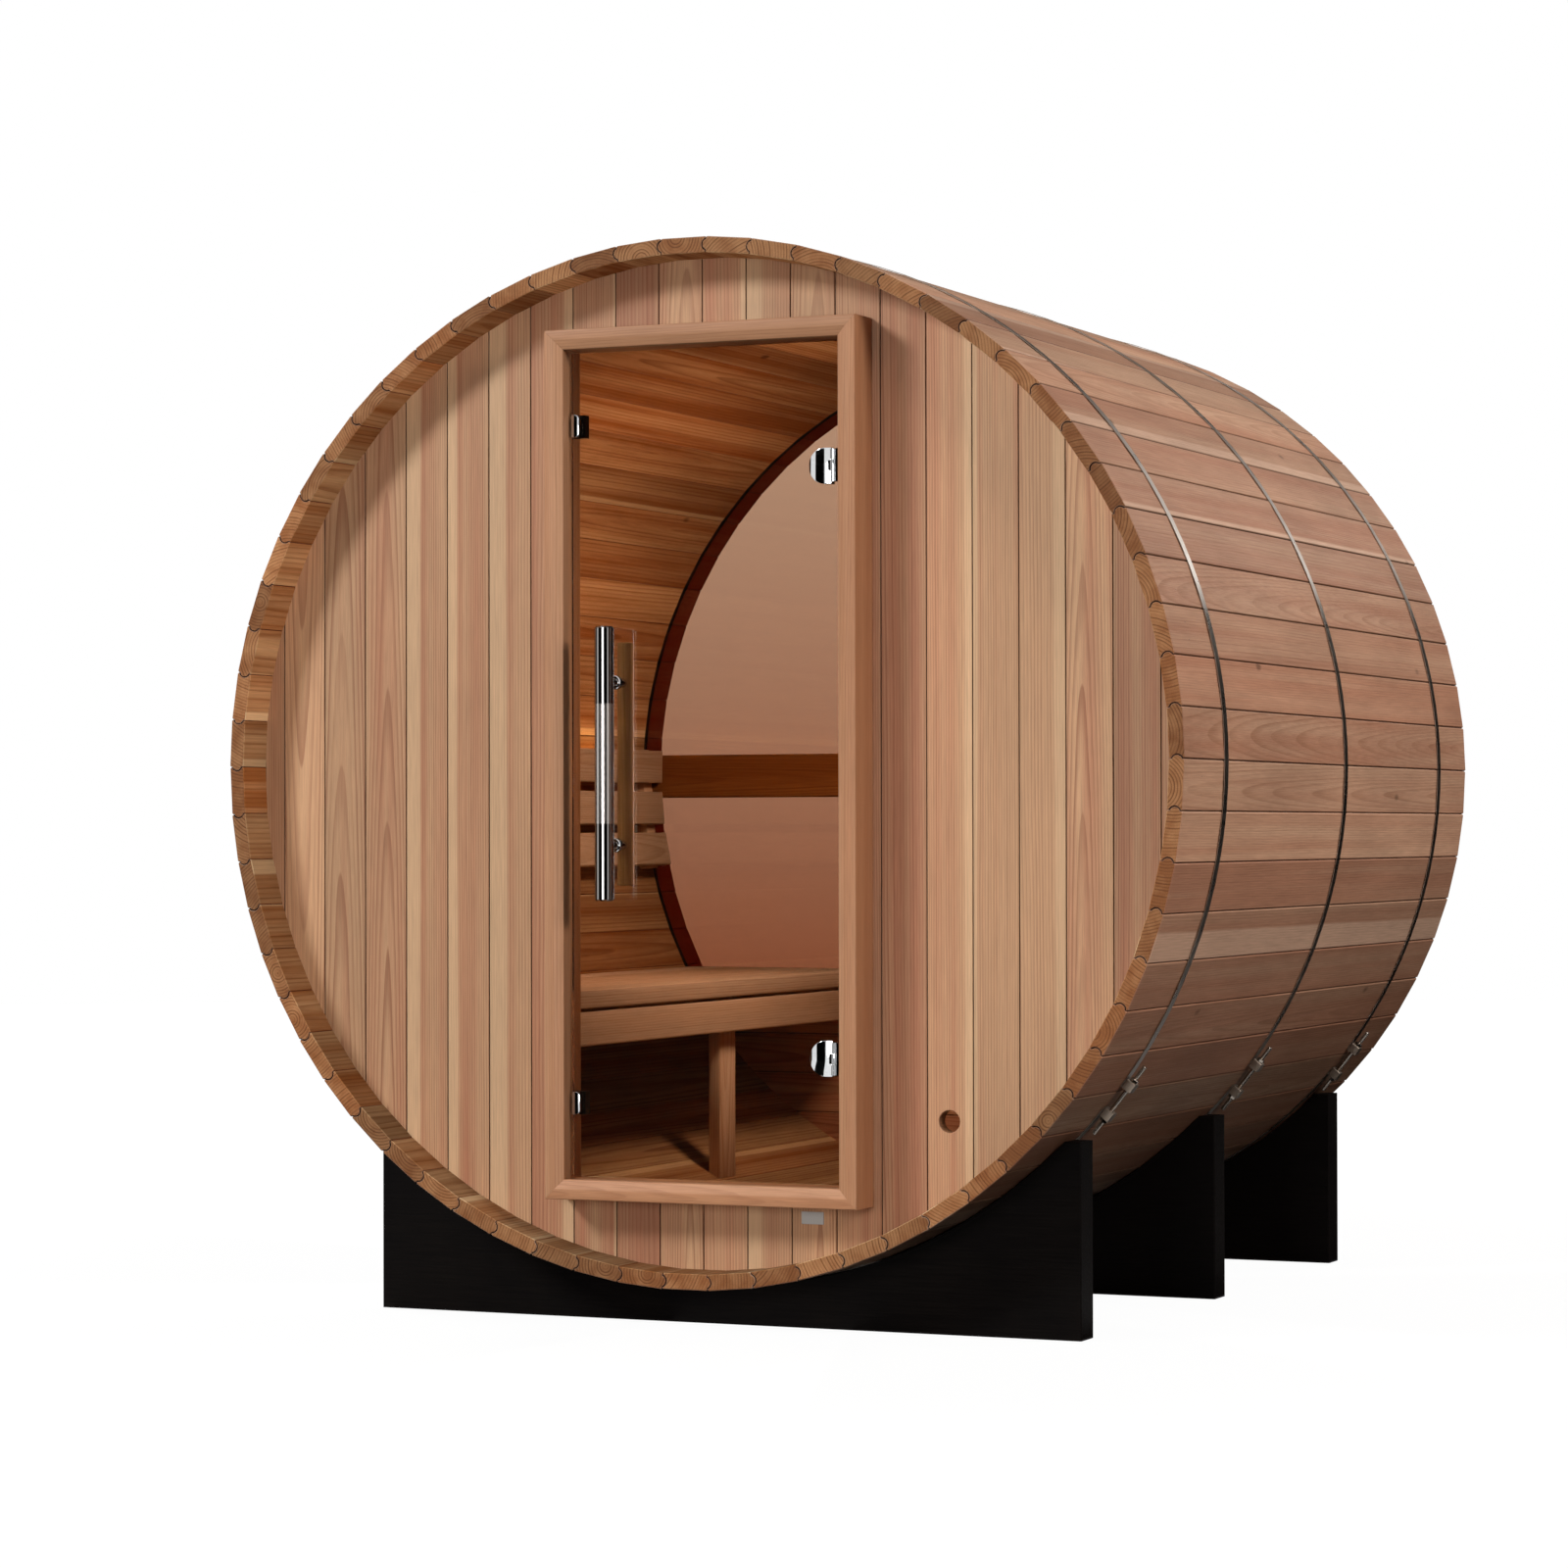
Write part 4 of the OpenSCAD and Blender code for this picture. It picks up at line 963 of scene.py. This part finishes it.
# a rose sits on the glass at the foot of each pillar: place from the glass and radius
ROSE = np.array([[0, 12.5], [2.5, 12.5], [3.5, 11.5], [3.8, 8.5]]) * MM
pane_y = boxes["door_glass"][:, 1]
pull_lo, pull_hi = boxes["door_handle"]
pull_x, pull_r = (pull_lo[0] + pull_hi[0]) / 2, (pull_hi[0] - pull_lo[0]) / 2
posts = []
for side in (-1, 1):
    for x, y, way, bar_y in ((grip_x, pane_y[1], 1, grip_y), (pull_x, pane_y[0], -1, pull_lo[1] + pull_r)):
        profile = np.concatenate([ROSE * [way, 1], [[bar_y - y, PILLAR_R]]])
        posts.append(skin(turned(profile, x, y, grip_z + side * STANDOFF, axis=1)))
piece("handle_pillars", posts, [chrome], body="door")
print("pillars:", len(posts))

# %% [markdown]
# ## Hinge clamps and catch clips
# Each hinge grips the glass between two plates, and the front plate is gently rounded from side to
# side, so it mirrors the room in upright bands. A flat plate would mirror one spot. A plate is a
# softened rectangle carried sideways, whose height follows the round tip and whose thickness
# follows a shallow arch.

# %% Clamps and clips
CLAMP_W, CLAMP_H, CLAMP_CREST = 42 * MM, 62 * MM, 23 * MM
KNUCKLE_R, KNUCKLE_H, KNUCKLE_EASE = 5.5 * MM, 19 * MM, 0.6 * MM
ARM_AT, ARM_SIZE = (CLAMP_W + 2 * MM, 1.5 * MM), (10 * MM, KNUCKLE_H - 1 * MM, 5 * MM)
CLIP_W, CLIP_H, CLIP_T, CLIP_CORNER, CLIP_CREST = 15 * MM, 40 * MM, 3 * MM, 9 * MM, 8 * MM


def round_plate(tip, way, width, tall, corner, base, out, thick, arch, crest, soft=0.9 * MM, count=26):
    """Plate from its round tip sideways: half height = tall/2 - corner + sqrt(corner^2 - (corner - s)^2),
    thickness = thick - arch (s - crest)^2."""
    s = np.concatenate([corner * (1 - np.cos(np.linspace(0.12, np.pi / 2, count - 8))),
                        np.linspace(corner, width, 9)[1:]])
    rise = tall / 2 - corner + np.sqrt(np.maximum(corner ** 2 - np.maximum(corner - s, 0) ** 2, 0))
    deep = thick - arch * (s - crest) ** 2
    rect = np.array([[0, -1.0], [1, -1], [1, 1], [0, 1]])
    loops = np.stack([softened(rect * [d, r], soft) for d, r in zip(deep, rise)])
    sideways = np.broadcast_to((tip[0] + way * s)[:, None], loops.shape[:2])
    return np.stack([sideways, base + out * loops[..., 0], tip[1] + loops[..., 1]], -1)[None]


hinge_at = np.array(frame["record"]["behaviour"]["joints"][0]["pos_m"])
for node_name in ("hinge_clamp_upper", "hinge_clamp_lower"):
    lo, hi = boxes[node_name]
    z = (lo[2] + hi[2]) / 2
    clamp = [round_plate((lo[0], z), 1, CLAMP_W, CLAMP_H, CLAMP_H / 2, y, out, thick, arch, CLAMP_CREST)
             for y, out, thick, arch in ((pane_y[0], -1, 9 * MM, 8.2), (pane_y[1], 1, 6 * MM, 2.0))]
    tube = rounded_bar(KNUCKLE_H, KNUCKLE_R, KNUCKLE_EASE)
    clamp.append(turned(tube, hinge_at[0], hinge_at[1], z, count=32))
    arm_at = np.array([[lo[0] + ARM_AT[0], hinge_at[1] + ARM_AT[1], z]])
    clamp.append(planks(arm_at, X, Z, Y, *ARM_SIZE, KNUCKLE_EASE))
    piece(node_name + "_plates", [skin(rings) for rings in clamp], [chrome],
          body="door", nodes=[node_name], angle=40)
lo, hi = boxes["catch_clips"]
clips = [round_plate((lo[0] + CLIP_W, z), -1, CLIP_W, CLIP_H, CLIP_CORNER, y, out, CLIP_T, 9.0, CLIP_CREST,
                     soft=0.6 * MM)
         for z in (lo[2] + CLIP_H / 2, hi[2] - CLIP_H / 2) for y, out in ((pane_y[0], -1), (pane_y[1], 1))]
piece("catch_clip_plates", [skin(rings) for rings in clips], [chrome],
      body="door", nodes=["catch_clips"], angle=40)
print("hinge clamps and", len(clips), "clip plates")

# %% [markdown]
# ## Tensioners
# A threaded rod through two small blocks draws the ends of each hoop together, with a nut outside
# each block. A thread could be a bump, but it shows on the outline of the rod, so it is a turned bar
# whose radius rises and falls. The real pitch is 1.25 mm, and it is drawn twice as coarse so that it shows.

# %% Tensioners
SLANT = np.radians(38.8)
ROD_LEN, ROD_R, THREAD, PITCH = 150 * MM, 4 * MM, 0.45 * MM, 2.5 * MM
BLOCK_PITCH, BLOCK_LEN, BLOCK_H, BLOCK_EASE = 64 * MM, 18 * MM, 19 * MM, 1.0 * MM
NUT_AF, NUT_H, NUT_EASE = 12.8 * MM, 6.4 * MM, 0.8 * MM
# along the rod, along the barrel, and out from it
rod_axes = np.array([[-np.sin(SLANT), 0, -np.cos(SLANT)], Y, [np.cos(SLANT), 0, -np.sin(SLANT)]])
crests = np.arange(-ROD_LEN / 2 + MM, ROD_LEN / 2 - 0.9 * MM, PITCH / 2)
thread = np.stack([crests, ROD_R - THREAD * (np.arange(len(crests)) % 2)], -1)
rod = np.concatenate([[[-ROD_LEN / 2, ROD_R - MM]], thread, [[ROD_LEN / 2, ROD_R - MM]]])
nut_at = (BLOCK_PITCH + BLOCK_LEN) / 2 + np.array([0, NUT_EASE, NUT_H - NUT_EASE, NUT_H])
nut_r = NUT_AF / np.sqrt(3) * np.array([0.9, 1, 1, 0.9])
spun = [turned(rod, 0, 0, 0, axis=0, count=16)]
spun += [turned(np.stack([way * nut_at, nut_r], -1), 0, 0, 0, axis=0, count=6) for way in (-1, 1)]
for place in ("front", "middle", "rear"):
    hoop = boxes["band_" + place]
    centre = np.array([0, hoop[:, 1].mean(), AXIS]) + (hoop[1, 2] - AXIS + BLOCK_H / 2) * rod_axes[2]
    ends = centre + np.outer([-BLOCK_PITCH / 2, BLOCK_PITCH / 2], rod_axes[0])
    blocks = planks(ends, *rod_axes, BLOCK_LEN, hoop[1, 1] - hoop[0, 1], BLOCK_H, BLOCK_EASE)
    piece("tensioner_" + place + "_blocks", [skin(blocks)], [block_steel],
          nodes=["tensioner_" + place])
    piece("tensioner_" + place + "_rod", [skin(centre + rings @ rod_axes) for rings in spun], [rod_steel])
print("tensioners:", len(crests) // 2, "threads on each rod")

# %% [markdown]
# ## Small pieces
# A bead of black sealant runs round the rear glass where it meets the wood, a bare metal plate
# sits on the wall under the door, and each stave is nailed to the end walls. A bump could hint at
# them, but they stand proud, and they are what the eye uses to judge the size of the whole.

# %% Sealant round the rear panes
BEAD_R, BEAD_OFF, BEAD_SINK = 1.8 * MM, 1.5 * MM, 0.5 * MM


def bead_along(angles, r, y, thick, count=10):
    """A bead along an arc round the barrel axis: circles of radius `thick` at each angle."""
    s = np.linspace(0, 2 * np.pi, count, endpoint=False)
    out = np.tile(r + thick * np.cos(s), (len(angles), 1))
    return np.stack([out * np.cos(angles)[:, None], np.broadcast_to(y + thick * np.sin(s), out.shape),
                     AXIS + out * np.sin(angles)[:, None]], -1)[None]


# angles where the panes end: at the top of the foot boards, and at both edges of the rail
at_foot = np.arcsin((AXIS - foot_hi[2]) / INNER)
over_rail = np.arcsin((rail_hi[2] - AXIS) / INNER)
under_rail = np.arcsin((AXIS - rail_lo[2]) / INNER)
arcs = ((over_rail, np.pi - over_rail), (-at_foot, -under_rail), (np.pi + under_rail, np.pi + at_foot))
pane = boxes["rear_glass_upper"][:, 1]
beads = [skin(bead_along(np.linspace(*arc, 90), INNER - BEAD_SINK, y, BEAD_R))
         for y in (pane[0] - BEAD_OFF, pane[1] + BEAD_OFF) for arc in arcs]
piece("rear_glass_sealant", beads, [plastic])
print("sealant in", len(beads), "beads")

# %% Bare plate and nails
PLATE_X, PLATE_Z, PLATE_SIZE, PLATE_EASE = 0.2085, 0.199, (42 * MM, 22 * MM, 1.2 * MM), 0.5 * MM
# two nails in each stave, each this share of half a stave from its middle
NAIL_R, NAIL_RISE, NAIL_SINK, NAIL_SIDE = 2.2 * MM, 0.5 * MM, 0.9 * MM, 0.35


def heads(centres, out, radius, rise, count):
    """Low domes that stand for nail heads: rings of falling radius along `out`, which lies across the
    barrel axis."""
    q = np.array([-1.0, 0.0, 0.6, 1.0])[:, None, None]
    scale = np.array([1.0, 1.0, 0.75, 0.3])[:, None, None] * radius
    e1 = np.cross(out, Y)
    e2 = np.cross(out, e1)
    s = np.linspace(0, 2 * np.pi, count, endpoint=False)[:, None]
    turn = np.cos(s) * e1[:, None, None] + np.sin(s) * e2[:, None, None]
    return centres[:, None, None] + q * rise * out[:, None, None] + scale * turn


plate_at = np.array([[PLATE_X, WALL_FRONT - PLATE_SIZE[2] / 2, PLATE_Z]])
plate = planks(plate_at, X, Z, -Y, *PLATE_SIZE, PLATE_EASE)
# brushed aluminium: a small pale grey patch, dull, with lines along it
plate_metal = metal("aluminium_plate_brushed", "#a59f99", 0.55, 0.08, 1.5, stretch=(0.1, 1, 1))
piece("bare_plate", [skin(plate)], [plate_metal])
nail_angle = np.repeat(theta, 2) + np.tile([-NAIL_SIDE, NAIL_SIDE], STAVES) * half
nail_at, nail_out, _ = around_axis(nail_angle, OUTER - NAIL_SINK, 0.0)
nail_y = ((WALL_FRONT + WALL_BACK) / 2, (foot_lo[1] + foot_hi[1]) / 2)
nail_at = np.concatenate([nail_at + [0, y, 0] for y in nail_y])
nails = heads(nail_at, np.concatenate([nail_out, nail_out]), NAIL_R, NAIL_RISE, 8)
# dulled nail heads: small grey-brown dots
nail_steel = metal("nail_heads_dulled", "#6d6259", 0.5, 0.1, 1.0)
piece("stave_nails", [skin(nails)], [nail_steel])
print("nails:", len(nails))

# %% [markdown]
# ## Floor and background
# The object stands on white paper that runs into a white background. A strongly lit white room
# would flood the wood with light, so the white is kept for sight alone: rays from the camera, off a
# mirror or through glass meet it, and light that wood has scattered meets grey paper and a weak sky.

# %% Floor
FLOOR_R, FLOOR_SIDES = 14, 96
# the white of the paper near the object, where it keeps the shadow, and how far off it is full
NEAR_WHITE, WHITE_FROM, WHITE_FULL = 0.965, 1.6, 4.0
scene = bpy.context.scene


def sight_in(t):
    """How far a ray is one of sight: 1 from the camera, off a mirror, or through glass with no mirror on
    its way, else 0."""
    ray = add(t, "LightPath", {}).node.outputs
    direct = add(t, "Math", {0: ray["Glossy Depth"], 1: 0.5}, operation="LESS_THAN")
    through = add(t, "Math", {0: ray["Is Transmission Ray"], 1: direct}, **TIMES)
    mirrored = add(t, "Math", {0: ray["Is Glossy Ray"], 1: ray["Is Reflection Ray"]}, **TIMES)
    either = add(t, "Math", {0: mirrored, 1: through}, operation="MAXIMUM")
    unscattered = add(t, "Math", {0: ray["Diffuse Depth"], 1: 0.5}, operation="LESS_THAN")
    parts = {0: either, 1: unscattered, 2: ray["Is Camera Ray"]}
    return add(t, "Math", parts, operation="MULTIPLY_ADD", use_clamp=True)


def staged(name, points, faces, look):
    """A mesh of the set, which isn't part of the object."""
    mesh = bpy.data.meshes.new(name)
    mesh.from_pydata(points.tolist(), [], faces)
    mesh.materials.append(look)
    made = bpy.data.objects.new(name, mesh)
    scene.collection.objects.link(made)
    made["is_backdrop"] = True
    return made


# matt paper: white to the eye with a pale shadow, and grey to the light that falls on it
paper, t, shader = finish_of("white_paper_floor")
spot = add(t, "TexCoord", {}, "Object")
fleck = add(t, "TexNoise", {"Vector": spot, "Scale": 40.0}, "Fac")
off_middle = add(t, "VectorMath", {0: spot}, "Value", operation="LENGTH")
white = add(t, "MapRange", {"Value": off_middle, "From Min": WHITE_FROM, "From Max": WHITE_FULL,
                            "To Min": NEAR_WHITE})
greys = {0: fleck, 6: linear("#2c2c2c"), 7: linear("#323232")}
join(shader, {"Base Color": add(t, "Mix", greys, 2, **COLOUR),
              "Roughness": 0.9, "Specular IOR Level": 0.1, "Emission Color": (1, 1, 1, 1),
              "Emission Strength": add(t, "Math", {0: sight_in(t), 1: white}, **TIMES)})
s = np.linspace(0, 2 * np.pi, FLOOR_SIDES, endpoint=False)
floor_points = np.column_stack([FLOOR_R * np.cos(s), FLOOR_R * np.sin(s), 0 * s])
staged("studio_floor", floor_points, [list(range(FLOOR_SIDES))], paper)
print("floor", 2 * FLOOR_R, "m across")

# %% World
SKY = 0.08
world = bpy.data.worlds.new("studio")
scene.world = world
world.use_nodes = True
t = world.node_tree
up = add(t, "SeparateXYZ", {0: add(t, "TexCoord", {}, "Generated")}, "Z")
# soft light for matt surfaces: strongest from above, none from the floor's side
soft = add(t, "MapRange", {"Value": up, "From Min": -0.1, "From Max": 0.9, "To Max": SKY})
join(t.nodes["Background"], {"Color": (1, 1, 1, 1),
                             "Strength": add(t, "Mix", {0: sight_in(t), 2: soft, 3: 1.0})})
print("sky of", SKY, "for matt surfaces, 1 for sight")

# %% [markdown]
# ## Dark cards
# Chrome in a white room looks like white paint, wood at a slant looks chalky and glass turns
# milky. A photographer lays black cards round the set, out of the picture, so that metal mirrors
# dark bands between white ones. Here six cards lead out from the object along the floor and then
# stand up, one of them where the door glass looks. A seventh stands above them at the back: the
# hoops mirror it, and one bright gap beside it. Only mirror rays meet the cards.

# %% Cards
# metres from the middle to a card's near end and to its upright part, its height and its lift off the floor
CARD_IN, CARD_R, CARD_HIGH, CARD_LIFT = 0.3, 7.0, 3.3, 3 * MM
# directions in radians from the front: the second card's middle, and both edges of the seventh
CARD_TURN, TOP_EDGES, TOP_HIGH = -0.42, np.array([[2.965, 3.92]]), 6.5


def fan(edges, reach, height):
    """Points at a reach and a height, in directions that are counted from the front."""
    return reach * np.stack([np.sin(edges), -np.cos(edges), 0 * edges], -1) + [0, 0, height]


card_turn = CARD_TURN + np.arange(-1, 5) * np.pi / 3
card_half = np.array([0.30, 0.30, 0.30, 0.45, 0.48, 0.45])
edges = card_turn[:, None] + card_half[:, None] * [-1, 1]
lines = [fan(edges, CARD_IN, CARD_LIFT), fan(edges, CARD_R, CARD_LIFT), fan(edges, CARD_R, CARD_HIGH)]
pairs = [*zip(lines[:-1], lines[1:]), (fan(TOP_EDGES, CARD_R, CARD_HIGH), fan(TOP_EDGES, CARD_R, TOP_HIGH))]
corners = np.concatenate([np.concatenate([low, high[:, ::-1]], 1) for low, high in pairs]).reshape(-1, 3)
# velvet: as black as cloth gets, with no gloss
velvet, t, shader = finish_of("black_velvet_cards")
nap = add(t, "TexNoise", {"Vector": add(t, "TexCoord", {}, "Object"), "Scale": 60.0}, "Fac")
join(shader, {"Base Color": add(t, "Mix", {0: nap, 6: linear("#060606"), 7: linear("#0c0c0c")}, 2, **COLOUR),
              "Specular IOR Level": 0.0})
cards = staged("studio_cards", corners, np.arange(len(corners)).reshape(-1, 4).tolist(), velvet)
cards.visible_camera = cards.visible_diffuse = cards.visible_transmission = cards.visible_shadow = False
print("cards:", len(card_turn) + 1)

# %% [markdown]
# ## Lamps and camera
# A key lamp high on the left throws the shadow of the rim and of the door frame on the wall, and a
# softbox along the right gives the round of the barrel its light and dark side. Weak fills open the
# shadows, and two small lamps stand for the light in the cabin. One big lamp would be simpler, and
# flat. The camera stands where the photograph was taken from, with a long lens.

# %% Lamps
def placed(x, y, z, at):
    """Matrix of an object that lies at a point, with its own axes along three directions."""
    return Matrix(np.vstack([np.column_stack([x, y, z, at]), [0, 0, 0, 1]]).tolist())


def lamp(name, at, aim, wide, watts, colour="#ffffff", long=None, mirrored=True):
    """A soft lamp at a point, facing another: square, or `long` metres the other way. `mirrored` says
    whether mirrors show it."""
    data = bpy.data.lights.new(name, "AREA")
    data.shape = "RECTANGLE"
    data.size = wide
    data.size_y = long or wide
    data.energy = watts
    data.color = linear(colour)[:3]
    made = bpy.data.objects.new(name, data)
    z = np.subtract(at, aim) / np.linalg.norm(np.subtract(at, aim))
    x = np.cross(Z, z) if abs(z[2]) < 0.99 else X
    x = x / np.linalg.norm(x)
    made.matrix_world = placed(x, np.cross(z, x), z, at)
    scene.collection.objects.link(made)
    made.visible_camera = made.visible_transmission = False
    made.visible_glossy = mirrored


lamp("left_key", (-5.3, -6.7, 5.6), (0, -0.8, 1.0), 1.8, 560)
lamp("right_fill", (4.5, -2.3, 3.0), (0.3, -0.7, 1.0), 1.2, 105, "#ffeee2")
lamp("front_fill", (0.8, -8.0, 1.3), (0, 0, 0.8), 2.0, 130)
lamp("right_key", (2.7, 0.55, 2.95), (0.6, 0.55, 1.2), 2.3, 52, long=0.9)
lamp("rear_rim", (1.9, 3.7, 2.6), (0.8, 0, 1.3), 0.5, 4)
lamp("left_side", (-4.2, 1.2, 3.4), (-0.6, 0, 1.1), 1.6, 85)
# these would show as bright patches in the glass, so no mirror sees them
lamp("rear_fill", (0.3, 4.2, 1.7), (-0.2, 0.8, 1.1), 1.4, 58, "#ffe9da", mirrored=False)
lamp("foot_fill", (-0.5, -3.4, 0.3), (0, -0.9, 0.2), 0.7, 11, "#ffdcc0", mirrored=False)
lamp("cabin_lamp", (0.32, -0.05, AXIS + 0.5), (-0.5, 0.05, AXIS - 0.45), 0.3, 12.5, "#ffe2c8", mirrored=False)
strip_x = 20 * MM - INNER
lamp("backrest_glow", (strip_x, -0.05, AXIS + 0.05), (strip_x, -0.05, 3), 0.02, 0.5, "#ffc880", long=1.2,
     mirrored=False)
print("lamps:", len(bpy.data.lights))

# %% Camera
# angles in radians, the place in metres with its depth counted from the staves' front ends, and the focal
# length in pixels of a picture IMAGE_PX wide
HEADING, PITCH_UP, ROLL = 0.4194, 0.0109, -0.0019
CAMERA_AT = (3.2048, FRONT - 6.7604, 0.8687)
FOCAL_PX, IMAGE_PX, SENSOR_MM, FAR_CLIP = 4398.5, 1600, 36.0, 200
level = np.array([np.cos(HEADING), np.sin(HEADING), 0])
ahead = np.array([-np.sin(HEADING) * np.cos(PITCH_UP), np.cos(HEADING) * np.cos(PITCH_UP), np.sin(PITCH_UP)])
upward = np.cross(level, ahead)
camera = bpy.data.objects.new("camera", bpy.data.cameras.new("camera"))
camera.data.sensor_width = SENSOR_MM
camera.data.lens = SENSOR_MM * FOCAL_PX / IMAGE_PX
camera.data.clip_end = FAR_CLIP
camera.matrix_world = placed(np.cos(ROLL) * level + np.sin(ROLL) * upward,
                             -np.sin(ROLL) * level + np.cos(ROLL) * upward, -ahead, CAMERA_AT)
scene.collection.objects.link(camera)
scene.camera = camera
scene.view_settings.view_transform = "Standard"
print("lens of", round(camera.data.lens, 1), "mm")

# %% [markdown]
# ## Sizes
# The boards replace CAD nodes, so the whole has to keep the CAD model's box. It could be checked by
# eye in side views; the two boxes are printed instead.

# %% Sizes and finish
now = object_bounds()
for label, box in (("cad box", cad_box), ("visual box", now)):
    print(label, [[round(float(c), 4) for c in v] for v in box])
